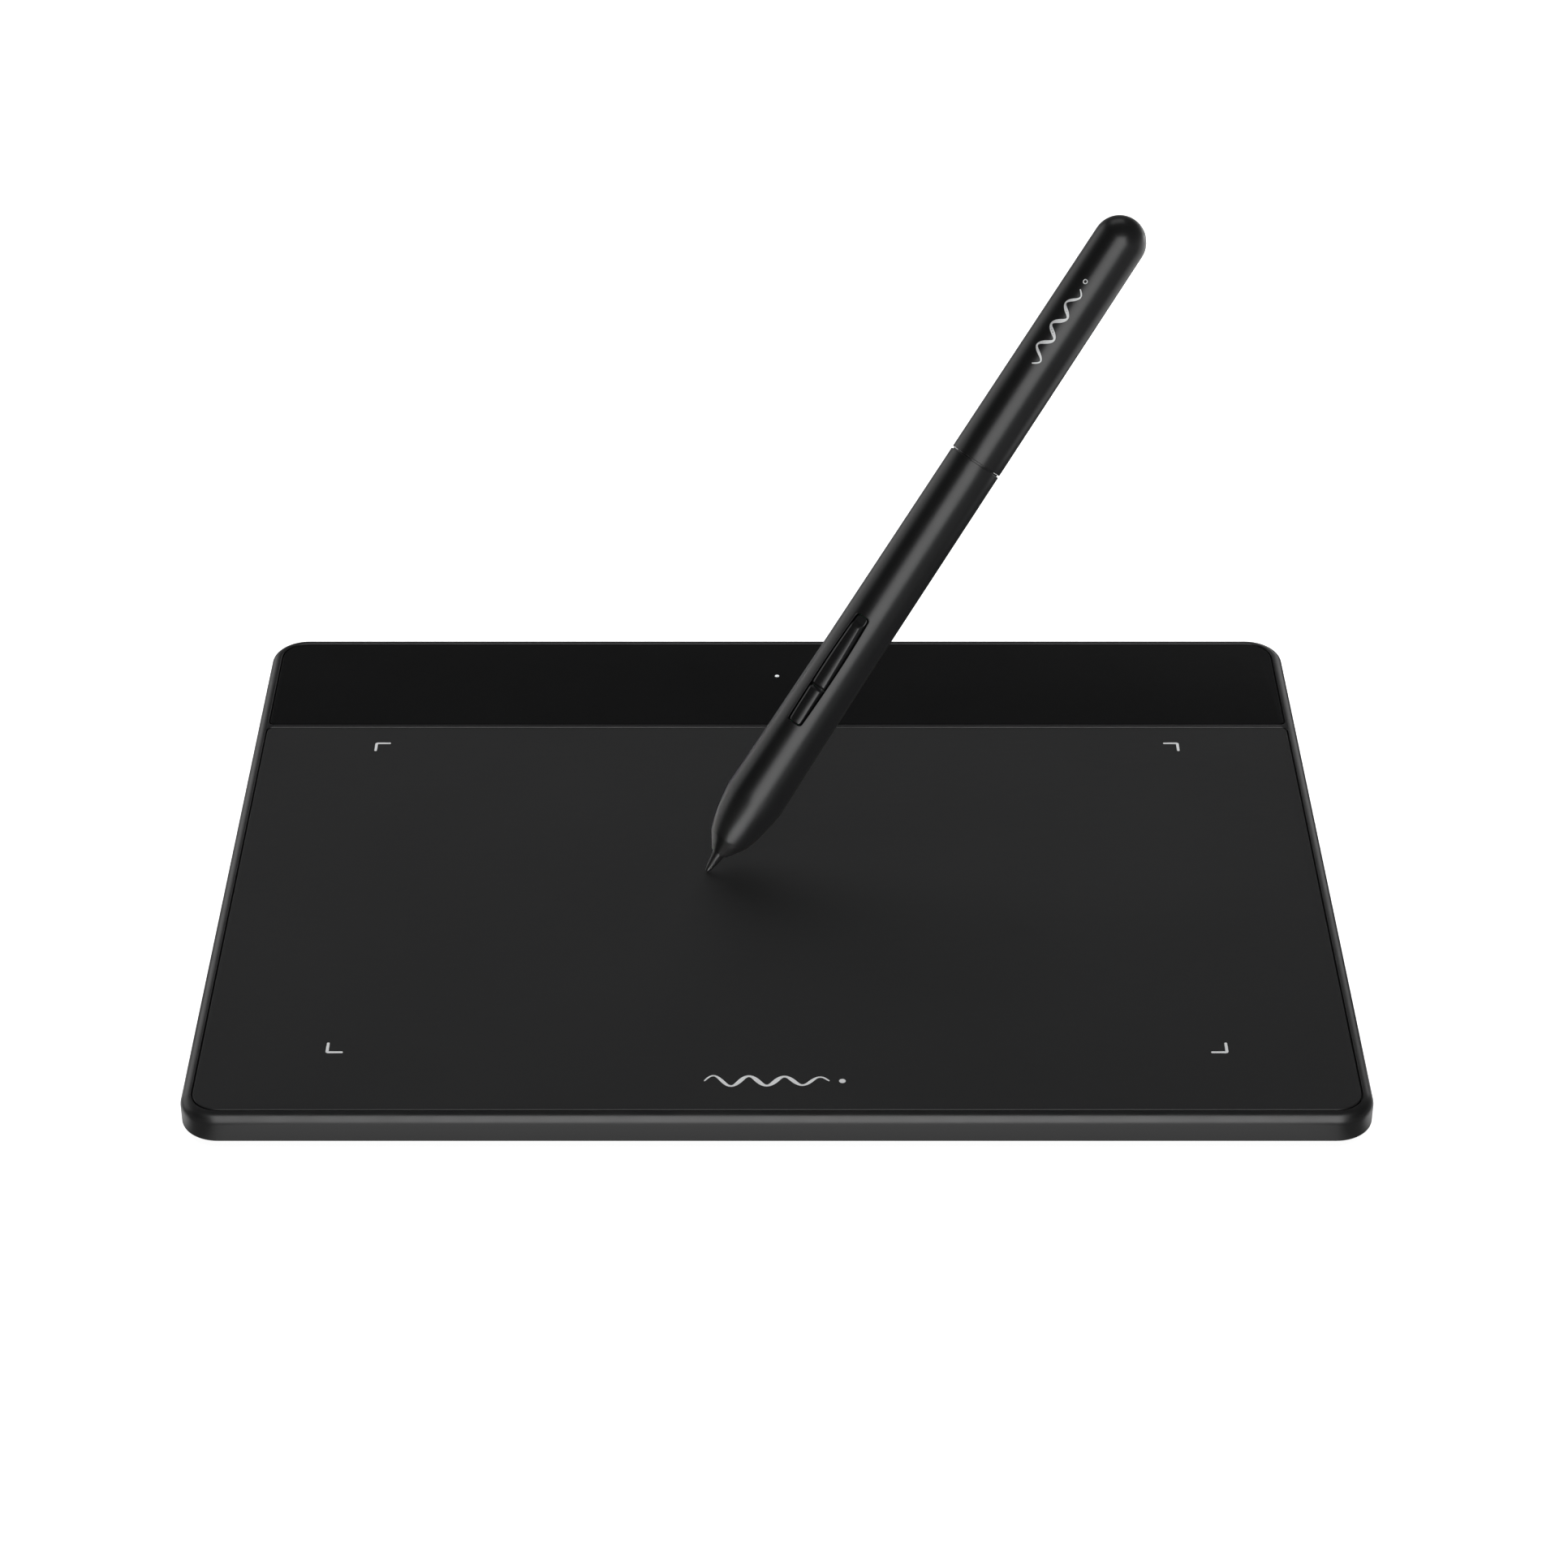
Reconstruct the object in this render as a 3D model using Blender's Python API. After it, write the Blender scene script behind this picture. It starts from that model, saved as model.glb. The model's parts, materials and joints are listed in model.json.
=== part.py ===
"""A slim pen drawing tablet and its battery-free stylus, built as separate pieces.

The tablet lies flat on its rubber feet. The stylus stands with its nib on the drawing
sheet, leaning back and to the right, as a hand would hold it. Lengths are in metres,
+X is right, +Y is away from the user and +Z is up. The origin is the centre of the
whole object's footprint, on the plane that the feet stand on.
"""

import math

import bmesh
import bpy
from mathutils import Matrix, Vector

MM = 0.001

# Tablet body
TABLET_WIDTH = 208.6 * MM
TABLET_DEPTH = 160.1 * MM
TABLET_HEIGHT = 7.2 * MM
CORNER_RADIUS = 7.1 * MM
TOP_FILLET = 2.2 * MM
SIDE_WALL_LOW = 1.95 * MM
HOUSING_UNDERSIDE = 1.2 * MM
SIDE_WALL_DRAFT, SIDE_WALL_BREAK = 0.05 * MM, 0.15 * MM
HOUSING_WALL = 2.4 * MM
HOUSING_RIM = 0.5 * MM
CORNER_STEPS = 8
FILLET_STEPS = 7

# Heights of the layers, from the desk up
FOOT_HEIGHT = 1.2 * MM
COVER_UNDERSIDE = 0.7 * MM
COVER_FLOOR = 1.9 * MM
SHIELD_LOW, SHIELD_HIGH = 3.2 * MM, 3.6 * MM
BOARD_LOW, BOARD_HIGH = 3.9 * MM, 4.7 * MM
PLATE_UNDERSIDE = 5.1 * MM
RECESS_FLOOR = 6.3 * MM
PANEL_UNDERSIDE = 6.5 * MM

# Drawing sheet and the panel beyond it
SHEET_HALF_WIDTH = 102.1 * MM
SHEET_NEAR = -77.8 * MM
DIVIDER_NEAR, DIVIDER_FAR = 45.55 * MM, 46.45 * MM
DIVIDER_GAP = 0.13 * MM
PANEL_HALF_WIDTH = 101.9 * MM
PANEL_FAR = 77.5 * MM
RIM_GAP = 0.25 * MM
FREE_CORNER = 4.9 * MM
DIVIDER_CORNER = 1.3 * MM
EDGE_BREAK = 0.1 * MM

# Clearances between pieces, and how far helper shapes run into or past what they join or cut
GAP = 0.3 * MM
LAYER_GAP = 0.2 * MM
BITE = 0.5 * MM
OVERRUN = 1.0 * MM

# Bottom cover
COVER_BEVEL = 0.5 * MM
RIB_ROWS = (-55 * MM, -15 * MM, 25 * MM)
RIB_HALF_LENGTH, RIB_HALF_THICKNESS = 80 * MM, 0.6 * MM

# Screws, feet and socket
BOSS_X = 97.6 * MM
BOSS_ROWS = (-73.3 * MM, 0.0, 73.3 * MM)
BOSS_RADIUS = 3.0 * MM
SCREW_RADIUS, SCREW_CLEARANCE = 1.0 * MM, 0.15 * MM
SCREW_HEAD_RADIUS = 1.9 * MM
SCREW_HEAD_LOW, SCREW_SEAT, SCREW_TIP = 0.8 * MM, 1.7 * MM, 4.7 * MM
BOSS_JOINT = 2.6 * MM
FOOT_LENGTH, FOOT_WIDTH = 20.0 * MM, 6.0 * MM
FOOT_X, FOOT_Y = 84.0 * MM, 68.0 * MM
FOOT_RECESS, FOOT_BEVEL = 1.4 * MM, 0.2 * MM
SOCKET_HEIGHT_CENTRE = 3.9 * MM
SOCKET_WIDTH, SOCKET_THICKNESS, SOCKET_LENGTH = 8.94 * MM, 3.26 * MM, 7.35 * MM
SOCKET_INSET = 0.6 * MM
SOCKET_SHEET = 0.3 * MM
MOUTH_DEPTH = 4.0 * MM
LIGHT_Y = 65.1 * MM
LIGHT_RADIUS, LIGHT_HOLE_RADIUS = 0.5 * MM, 1.3 * MM

# Stylus: places along its axis are distances from the nib's point
# The nib leans, so its rounded point rides a little above the sheet that its side touches
POINT_RISE = 0.17 * MM
PEN_TIP = Vector((-13.29 * MM, -5.57 * MM, TABLET_HEIGHT + POINT_RISE))
PEN_TILT = math.radians(41.47)
PEN_AZIMUTH = math.radians(34.47)
PEN_ROLL = math.radians(205.3)
PEN_LENGTH = 145.4 * MM
PEN_RADIUS, PARTING_RADIUS, TAIL_RADIUS = 5.35 * MM, 5.19 * MM, 5.03 * MM
PEN_BORE = 4.2 * MM
PEN_STEPS = 48
NOSE, NOSE_RADIUS, NIB_HOLE = 4.2 * MM, 1.6 * MM, 1.33 * MM
CONE_END = (7.3 * MM, 3.68 * MM)
SWELL = (16.7 * MM, 5.79 * MM)
GRIP_END = 46.8 * MM
PARTING, PARTING_GAP = 92.15 * MM, 0.35 * MM
KEY_LOW, KEY_BREAK, KEY_HIGH = 33.1 * MM, 41.1 * MM, 56.9 * MM
KEY_HALF_WIDTH = 1.78 * MM
KEY_LOW_HALF_WIDTH, KEY_HIGH_HALF_WIDTH = 1.56 * MM, 1.44 * MM
KEY_CORNER = 0.65 * MM
KEY_GAP = 0.25 * MM
KEY_CREST = 5.65 * MM
KEY_UNDERSIDE, KEY_FLANGE_TOP = 3.05 * MM, 3.4 * MM
KEY_FLANGE_HALF_WIDTH = 2.1 * MM
SWITCH_TOP = 2.7 * MM

COLOURS = {
    "housing_plastic": ((0.048, 0.049, 0.052), 0.36, 0.0),
    "cover_plastic": ((0.030, 0.031, 0.033), 0.52, 0.0),
    "sheet_film": ((0.020, 0.020, 0.021), 0.62, 0.0),
    "panel_plastic": ((0.008, 0.008, 0.009), 0.45, 0.0),
    "light_plastic": ((0.90, 0.92, 0.92), 0.20, 0.0),
    "foot_rubber": ((0.012, 0.012, 0.012), 0.85, 0.0),
    "screw_steel": ((0.10, 0.10, 0.11), 0.35, 1.0),
    "socket_steel": ((0.55, 0.55, 0.56), 0.28, 1.0),
    "board_laminate": ((0.010, 0.085, 0.040), 0.50, 0.0),
    "chip_epoxy": ((0.015, 0.015, 0.016), 0.55, 0.0),
    "shield_metal": ((0.60, 0.61, 0.62), 0.35, 1.0),
    "barrel_plastic": ((0.030, 0.031, 0.033), 0.34, 0.0),
    "key_plastic": ((0.022, 0.022, 0.024), 0.30, 0.0),
    "nib_plastic": ((0.014, 0.014, 0.015), 0.25, 0.0),
    "inner_plastic": ((0.16, 0.16, 0.17), 0.55, 0.0),
    "ferrite": ((0.045, 0.045, 0.050), 0.60, 0.0),
    "coil_copper": ((0.72, 0.33, 0.16), 0.30, 1.0),
}


def clear_scene():
    for obj in list(bpy.data.objects):
        bpy.data.objects.remove(obj, do_unlink=True)


def material(name):
    """The Principled material with this name, made the first time it's asked for."""
    found = bpy.data.materials.get(name)
    if found:
        return found
    colour, roughness, metallic = COLOURS[name]
    made = bpy.data.materials.new(name)
    made.use_nodes = True
    shader = made.node_tree.nodes["Principled BSDF"]
    shader.inputs["Base Color"].default_value = (*colour, 1.0)
    shader.inputs["Roughness"].default_value = roughness
    shader.inputs["Metallic"].default_value = metallic
    made.diffuse_color = (*colour, 1.0)
    return made


def empty(name, matrix):
    frame = bpy.data.objects.new(name, None)
    bpy.context.scene.collection.objects.link(frame)
    frame.matrix_world = matrix
    return frame


def solid(name, bm, finish, parent, smooth=True):
    """An object of this bmesh, with its normals pointing out and its flat edges kept sharp."""
    bmesh.ops.recalc_face_normals(bm, faces=bm.faces)
    mesh = bpy.data.meshes.new(name)
    bm.to_mesh(mesh)
    bm.free()
    if smooth:
        mesh.shade_smooth()
        mesh.set_sharp_from_angle(angle=math.radians(35))
    obj = bpy.data.objects.new(name, mesh)
    bpy.context.scene.collection.objects.link(obj)
    obj.parent = parent
    if finish:
        mesh.materials.append(material(finish))
    return obj


def tool(obj):
    """Marks a cutter or another helper shape, which isn't a piece of the object."""
    obj.hide_render = True
    obj.display_type = "WIRE"
    return obj


def combine(target, other, operation):
    modifier = target.modifiers.new(other.name, "BOOLEAN")
    modifier.operation = operation
    modifier.solver = "EXACT"
    modifier.object = tool(other)
    return target


def cut(target, other):
    return combine(target, other, "DIFFERENCE")


def join(target, other):
    return combine(target, other, "UNION")


def arc(centre, radius, start, end, steps):
    """Points of an arc from start to end, in degrees, both ends included."""
    turn = [math.radians(start + (end - start) * k / steps) for k in range(steps + 1)]
    return [(centre[0] + radius * math.cos(a), centre[1] + radius * math.sin(a)) for a in turn]


def bezier(start, control, end, steps):
    """Points of a quadratic curve, without its first one."""
    points = []
    for k in range(1, steps + 1):
        u = k / steps
        points.append(
            tuple(
                (1 - u) ** 2 * a + 2 * u * (1 - u) * b + u * u * c
                for a, b, c in zip(start, control, end)
            )
        )
    return points


def rounded_rectangle(left, right, near, far, near_radius, far_radius, steps=CORNER_STEPS):
    """An anticlockwise outline with one radius at its near corners and one at its far corners."""
    return (
        arc((right - near_radius, near + near_radius), near_radius, -90, 0, steps)
        + arc((right - far_radius, far - far_radius), far_radius, 0, 90, steps)
        + arc((left + far_radius, far - far_radius), far_radius, 90, 180, steps)
        + arc((left + near_radius, near + near_radius), near_radius, 180, 270, steps)
    )


def body_outline(inset):
    """The tablet's outline, moved inwards."""
    half_width, half_depth = TABLET_WIDTH / 2 - inset, TABLET_DEPTH / 2 - inset
    radius = CORNER_RADIUS - inset
    return rounded_rectangle(-half_width, half_width, -half_depth, half_depth, radius, radius)


def loft(name, rings, finish, parent):
    """A solid through rings of equally many points, each an outline at a height."""
    bm = bmesh.new()
    loops = [[bm.verts.new((x, y, z)) for x, y in outline] for outline, z in rings]
    for low, high in zip(loops, loops[1:]):
        for k, vertex in enumerate(low):
            after = (k + 1) % len(low)
            bm.faces.new((vertex, low[after], high[after], high[k]))
    bm.faces.new(list(reversed(loops[0])))
    bm.faces.new(loops[-1])
    return solid(name, bm, finish, parent)


def slab(name, outline, low, high, finish=None, parent=None):
    return loft(name, [(outline, low), (outline, high)], finish, parent)


def edged_slab(name, outline_at, low, high, finish, parent):
    """A slab whose top edge is broken: outline_at gives its outline for an inset."""
    rings = [(outline_at(0), low), (outline_at(0), high - EDGE_BREAK), (outline_at(EDGE_BREAK), high)]
    return loft(name, rings, finish, parent)


def block(name, low, high, finish=None, parent=None):
    """A box between two corners."""
    bm = bmesh.new()
    low, high = Vector(low), Vector(high)
    place = Matrix.Translation((low + high) / 2) @ Matrix.Diagonal((*(high - low), 1.0))
    bmesh.ops.create_cube(bm, size=1.0, matrix=place)
    return solid(name, bm, finish, parent, smooth=False)


def rod(name, centre, radius, low, high, finish=None, parent=None, steps=24):
    """An upright cylinder."""
    bm = bmesh.new()
    place = Matrix.Translation((centre[0], centre[1], (low + high) / 2))
    bmesh.ops.create_cone(
        bm, cap_ends=True, segments=steps, radius1=radius, radius2=radius,
        depth=high - low, matrix=place,
    )
    return solid(name, bm, finish, parent)


def turned(name, profile, finish, parent, steps=PEN_STEPS):
    """A solid of revolution about Z, from a closed profile of (height, radius) points."""
    bm = bmesh.new()
    points = [bm.verts.new((radius, 0.0, height)) for height, radius in profile]
    closes = profile[0][1] > 0 or profile[-1][1] > 0
    following = points[1:] + points[:1] if closes else points[1:]
    edges = [bm.edges.new(pair) for pair in zip(points, following)]
    bmesh.ops.spin(
        bm, geom=points + edges, cent=(0, 0, 0), axis=(0, 0, 1),
        angle=math.tau, steps=steps, use_merge=True,
    )
    bmesh.ops.remove_doubles(bm, verts=bm.verts, dist=0.001 * MM)
    return solid(name, bm, finish, parent)


def stadium(width, height, steps=10):
    """A slot shape, wider than it is high, centred on the origin."""
    radius = height / 2
    straight = width / 2 - radius
    return arc((straight, 0), radius, -90, 90, steps) + arc((-straight, 0), radius, 90, 270, steps)


def upright_prism(name, outline, near, far, height, finish=None, parent=None):
    """An outline in X and Z, centred at this height, drawn out along Y."""
    bm = bmesh.new()
    ends = [[bm.verts.new((x, y, z + height)) for x, z in outline] for y in (near, far)]
    for k in range(len(outline)):
        after = (k + 1) % len(outline)
        bm.faces.new((ends[0][k], ends[0][after], ends[1][after], ends[1][k]))
    bm.faces.new(ends[0])
    bm.faces.new(list(reversed(ends[1])))
    return solid(name, bm, finish, parent)


# ---------------------------------------------------------------- tablet pieces


def sheet_outline(grow):
    """The drawing sheet's outline, or that of its recess when it grows by the gap around it."""
    divider = min(grow, DIVIDER_GAP)
    return rounded_rectangle(
        -SHEET_HALF_WIDTH - grow, SHEET_HALF_WIDTH + grow,
        SHEET_NEAR - grow, DIVIDER_NEAR - DIVIDER_GAP + divider,
        FREE_CORNER + grow, DIVIDER_CORNER + divider,
    )


def panel_outline(grow):
    divider = min(grow, DIVIDER_GAP)
    return rounded_rectangle(
        -PANEL_HALF_WIDTH - grow, PANEL_HALF_WIDTH + grow,
        DIVIDER_FAR + DIVIDER_GAP - divider, PANEL_FAR + grow,
        DIVIDER_CORNER + divider, FREE_CORNER + grow,
    )


def boss_places():
    return [(side * BOSS_X, y) for side in (-1, 1) for y in BOSS_ROWS]


def top_housing(parent):
    """The moulded upper shell: side walls, rounded rim, divider bar and the plate under the sheet."""
    rings = [
        (body_outline(HOUSING_WALL - HOUSING_RIM), HOUSING_UNDERSIDE),
        (body_outline(SIDE_WALL_DRAFT), SIDE_WALL_LOW),
        (body_outline(0), SIDE_WALL_LOW + SIDE_WALL_BREAK),
    ]
    for reach, rise in arc((0, 0), TOP_FILLET, 0, 90, FILLET_STEPS):
        rings.append((body_outline(TOP_FILLET - reach), TABLET_HEIGHT - TOP_FILLET + rise))
    housing = loft("top_housing", rings, "housing_plastic", parent)

    below, above = -OVERRUN, TABLET_HEIGHT + OVERRUN
    cut(housing, slab("cavity_cutter", body_outline(HOUSING_WALL), below, PLATE_UNDERSIDE, parent=parent))
    cut(housing, slab("sheet_cutter", sheet_outline(RIM_GAP), RECESS_FLOOR, above, parent=parent))
    cut(housing, slab("panel_cutter", panel_outline(RIM_GAP), RECESS_FLOOR, above, parent=parent))
    for number, place in enumerate(boss_places(), 1):
        foot = BOSS_JOINT + LAYER_GAP
        join(housing, rod(f"boss_{number}", place, BOSS_RADIUS, foot, PLATE_UNDERSIDE + BITE, parent=parent))
        pilot_radius = SCREW_RADIUS + SCREW_CLEARANCE
        cut(housing, rod(f"pilot_{number}", place, pilot_radius, 0, PLATE_UNDERSIDE, parent=parent))
    light_low = PLATE_UNDERSIDE - OVERRUN
    cut(housing, rod("light_hole_cutter", (0, LIGHT_Y), LIGHT_HOLE_RADIUS, light_low, above, parent=parent))

    far_wall = TABLET_DEPTH / 2
    mouth = stadium(SOCKET_WIDTH + 2 * GAP, SOCKET_THICKNESS + LAYER_GAP)
    mouth_cutter = upright_prism(
        "socket_mouth_cutter", mouth, far_wall - MOUTH_DEPTH, far_wall + OVERRUN,
        SOCKET_HEIGHT_CENTRE, parent=parent,
    )
    cut(housing, mouth_cutter)
    pocket_half = SOCKET_WIDTH / 2 + GAP
    back = far_wall - SOCKET_INSET - SOCKET_LENGTH - GAP
    pocket_ceiling = SOCKET_HEIGHT_CENTRE + SOCKET_THICKNESS / 2 + GAP
    pocket_low = (-pocket_half, back, PLATE_UNDERSIDE - OVERRUN)
    pocket_high = (pocket_half, far_wall - HOUSING_WALL + LAYER_GAP, pocket_ceiling)
    return cut(housing, block("socket_pocket_cutter", pocket_low, pocket_high, parent=parent))


def bottom_cover(parent):
    """The flat plate that closes the housing from below, with ribs and screw bosses inside."""
    edge = HOUSING_WALL + GAP
    rings = [
        (body_outline(edge + COVER_BEVEL), COVER_UNDERSIDE),
        (body_outline(edge), COVER_UNDERSIDE + COVER_BEVEL),
        (body_outline(edge), COVER_FLOOR),
    ]
    cover = loft("bottom_cover", rings, "cover_plastic", parent)
    root = COVER_FLOOR - BITE
    for number, y in enumerate(RIB_ROWS, 1):
        rib_low = (-RIB_HALF_LENGTH, y - RIB_HALF_THICKNESS, root)
        rib_high = (RIB_HALF_LENGTH, y + RIB_HALF_THICKNESS, SHIELD_LOW - GAP)
        join(cover, block(f"rib_{number}", rib_low, rib_high, parent=parent))
    for number, place in enumerate(boss_places(), 1):
        join(cover, rod(f"cover_boss_{number}", place, BOSS_RADIUS, root, BOSS_JOINT, parent=parent))
        head_room, shank_room = SCREW_HEAD_RADIUS + GAP, SCREW_RADIUS + SCREW_CLEARANCE
        cut(cover, rod(f"head_cutter_{number}", place, head_room, 0, SCREW_SEAT, parent=parent))
        cut(cover, rod(f"shank_cutter_{number}", place, shank_room, 0, BOSS_JOINT + OVERRUN, parent=parent))
    for name, x, y in foot_places():
        outline = [(x + u, y + v) for u, v in stadium(FOOT_LENGTH + 2 * GAP, FOOT_WIDTH + 2 * GAP)]
        cut(cover, slab(f"{name}_recess_cutter", outline, 0, FOOT_RECESS, parent=parent))
    return cover


def foot_places():
    return [
        ("foot_near_left", -FOOT_X, -FOOT_Y),
        ("foot_near_right", FOOT_X, -FOOT_Y),
        ("foot_far_left", -FOOT_X, FOOT_Y),
        ("foot_far_right", FOOT_X, FOOT_Y),
    ]


def rubber_feet(parent):
    for name, x, y in foot_places():
        def pad(inset):
            return [(x + u, y + v) for u, v in stadium(FOOT_LENGTH - 2 * inset, FOOT_WIDTH - 2 * inset)]
        loft(name, [(pad(FOOT_BEVEL), 0), (pad(0), FOOT_BEVEL), (pad(0), FOOT_HEIGHT)], "foot_rubber", parent)


def cover_screws(parent):
    """Cross-recess screws that share one mesh. Each stands head down in its boss."""
    head_edge = SCREW_HEAD_RADIUS - 0.4 * MM
    profile = [
        (SCREW_HEAD_LOW, 0), (SCREW_HEAD_LOW, head_edge), (SCREW_HEAD_LOW + 0.35 * MM, SCREW_HEAD_RADIUS),
        (SCREW_SEAT - 0.1 * MM, SCREW_HEAD_RADIUS), (SCREW_SEAT - 0.1 * MM, SCREW_RADIUS),
        (SCREW_TIP - 0.4 * MM, SCREW_RADIUS), (SCREW_TIP, SCREW_RADIUS * 0.6), (SCREW_TIP, 0),
    ]
    pattern = turned("cover_screw_1", profile, "screw_steel", parent, steps=20)
    arm, half, depth = 1.1 * MM, 0.25 * MM, 0.5 * MM
    for name, x, y in (("across", arm, half), ("along", half, arm)):
        cut(pattern, block(f"recess_{name}", (-x, -y, 0), (x, y, SCREW_HEAD_LOW + depth), parent=parent))
    bpy.context.view_layer.update()
    made = pattern.evaluated_get(bpy.context.evaluated_depsgraph_get())
    pattern.data = bpy.data.meshes.new_from_object(made)
    pattern.modifiers.clear()
    for number, place in enumerate(boss_places(), 1):
        screw = pattern
        if number > 1:
            screw = bpy.data.objects.new(f"cover_screw_{number}", pattern.data)
            bpy.context.scene.collection.objects.link(screw)
            screw.parent = parent
        screw.location = (*place, 0)


def status_light(parent):
    """The light pipe that shows as a dot in the panel, and the lamp on the board beneath it."""
    flange = 1.0 * MM
    shelf = RECESS_FLOOR
    profile = [
        (5.5 * MM, 0), (5.5 * MM, flange), (shelf, flange), (shelf, LIGHT_RADIUS),
        (TABLET_HEIGHT, LIGHT_RADIUS), (TABLET_HEIGHT, 0),
    ]
    pipe = turned("status_light_pipe", profile, "light_plastic", parent, steps=24)
    pipe.location = (0, LIGHT_Y, 0)
    lamp_low = (-0.8 * MM, LIGHT_Y - 0.4 * MM, BOARD_HIGH + 0.1 * MM)
    lamp_high = (0.8 * MM, LIGHT_Y + 0.4 * MM, BOARD_HIGH + 0.6 * MM)
    block("status_lamp", lamp_low, lamp_high, "light_plastic", parent)


def electronics(parent):
    """The sensor board, the shield under its active area and the chips on its underside."""
    left, right, near, far = -94 * MM, 94 * MM, -74.5 * MM, 74.5 * MM
    corner = 2 * MM
    outline = rounded_rectangle(left, right, near, far, corner, corner, 3)
    board = slab("sensor_board", outline, BOARD_LOW, BOARD_HIGH, "board_laminate", parent)
    notch_half = SOCKET_WIDTH / 2 + GAP
    back = TABLET_DEPTH / 2 - SOCKET_INSET - SOCKET_LENGTH - GAP
    cut(board, block(
        "board_notch_cutter", (-notch_half, back, BOARD_LOW - OVERRUN),
        (notch_half, far + OVERRUN, BOARD_HIGH + OVERRUN), parent=parent,
    ))
    shield = rounded_rectangle(left, right, near, 47 * MM, corner, corner, 3)
    slab("shield_plate", shield, SHIELD_LOW, SHIELD_HIGH, "shield_metal", parent)
    chips = (
        ("controller_chip", 18, 58, 7.0, 7.0, 0.9),
        ("analogue_chip", -20, 58, 5.0, 5.0, 0.8),
        ("multiplexer_chip_left", -60, 57, 6.4, 4.4, 0.8),
        ("multiplexer_chip_right", 60, 57, 6.4, 4.4, 0.8),
        ("crystal", 27, 60, 3.2, 2.5, 0.7),
    )
    for name, x, y, width, depth, height in chips:
        top = BOARD_LOW - 0.1 * MM
        low = ((x - width / 2) * MM, (y - depth / 2) * MM, top - height * MM)
        high = ((x + width / 2) * MM, (y + depth / 2) * MM, top)
        block(name, low, high, "shield_metal" if name == "crystal" else "chip_epoxy", parent)


def usb_socket(parent):
    """A reversible power and data socket in the far wall: a steel shell around a plastic insert."""
    mouth = TABLET_DEPTH / 2 - SOCKET_INSET
    back = mouth - SOCKET_LENGTH
    inner_width, inner_height = SOCKET_WIDTH - 2 * SOCKET_SHEET, SOCKET_THICKNESS - 2 * SOCKET_SHEET
    shell = upright_prism(
        "usb_socket_shell", stadium(SOCKET_WIDTH, SOCKET_THICKNESS), back, mouth,
        SOCKET_HEIGHT_CENTRE, "socket_steel", parent,
    )
    hollow = upright_prism(
        "shell_cutter", stadium(inner_width, inner_height), back + SOCKET_SHEET, mouth + OVERRUN,
        SOCKET_HEIGHT_CENTRE, parent=parent,
    )
    cut(shell, hollow)
    insert = upright_prism(
        "usb_socket_insert", stadium(inner_width - 0.2 * MM, inner_height - 0.2 * MM),
        back + SOCKET_SHEET + 0.1 * MM, back + 1.6 * MM, SOCKET_HEIGHT_CENTRE, "chip_epoxy", parent,
    )
    tongue_half, tongue_rise, tongue_length = 3.35 * MM, 0.35 * MM, 4.7 * MM
    tongue = block(
        "tongue", (-tongue_half, back + 1.2 * MM, SOCKET_HEIGHT_CENTRE - tongue_rise),
        (tongue_half, back + 1.6 * MM + tongue_length, SOCKET_HEIGHT_CENTRE + tongue_rise), parent=parent,
    )
    join(insert, tongue)


def build_tablet(frame):
    top_housing(frame)
    bottom_cover(frame)
    edged_slab("drawing_sheet", lambda inset: sheet_outline(-inset), PANEL_UNDERSIDE, TABLET_HEIGHT,
               "sheet_film", frame)
    panel = edged_slab("top_panel", lambda inset: panel_outline(-inset), PANEL_UNDERSIDE, TABLET_HEIGHT,
                       "panel_plastic", frame)
    pipe_clearance = LIGHT_RADIUS + 0.1 * MM
    cut(panel, rod("panel_light_cutter", (0, LIGHT_Y), pipe_clearance, RECESS_FLOOR - OVERRUN,
                   TABLET_HEIGHT + OVERRUN, parent=frame))
    status_light(frame)
    electronics(frame)
    usb_socket(frame)
    rubber_feet(frame)
    cover_screws(frame)


# ---------------------------------------------------------------- stylus pieces
# In the stylus's own frame Z runs from the nib's point to the tail and the keys face +X.


def front_barrel(parent):
    """The grip half: a nose cone, a swelling under the fingers and a gently tapered tube."""
    outer = [(NOSE, NOSE_RADIUS), CONE_END]
    outer += bezier(CONE_END, (10.35 * MM, 5.02 * MM), SWELL, 7)
    outer += bezier(SWELL, (30.3 * MM, 5.53 * MM), (GRIP_END, PEN_RADIUS), 5)
    end = PARTING - PARTING_GAP / 2
    inner = [
        (end, PEN_BORE), (22.8 * MM, PEN_BORE), (21 * MM, 3.3 * MM), (9.8 * MM, 3.3 * MM),
        (8.1 * MM, 2.3 * MM), (6.4 * MM, NIB_HOLE), (NOSE, NIB_HOLE),
    ]
    barrel = turned("pen_front_barrel", outer + [(end, PARTING_RADIUS)] + inner, "barrel_plastic", parent)
    return cut(barrel, key_prism("key_opening_cutter", KEY_LOW, KEY_HIGH, 0, 2 * MM, 8 * MM, parent))


def key_half_width(place):
    """The opening's half width along the stylus: widest in the middle, narrowest at the upper end."""
    middle, half = (KEY_LOW + KEY_HIGH) / 2, (KEY_HIGH - KEY_LOW) / 2
    share = (place - middle) / half
    end_half_width = KEY_LOW_HALF_WIDTH if share < 0 else KEY_HIGH_HALF_WIDTH
    return KEY_HALF_WIDTH - (KEY_HALF_WIDTH - end_half_width) * share * share


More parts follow.
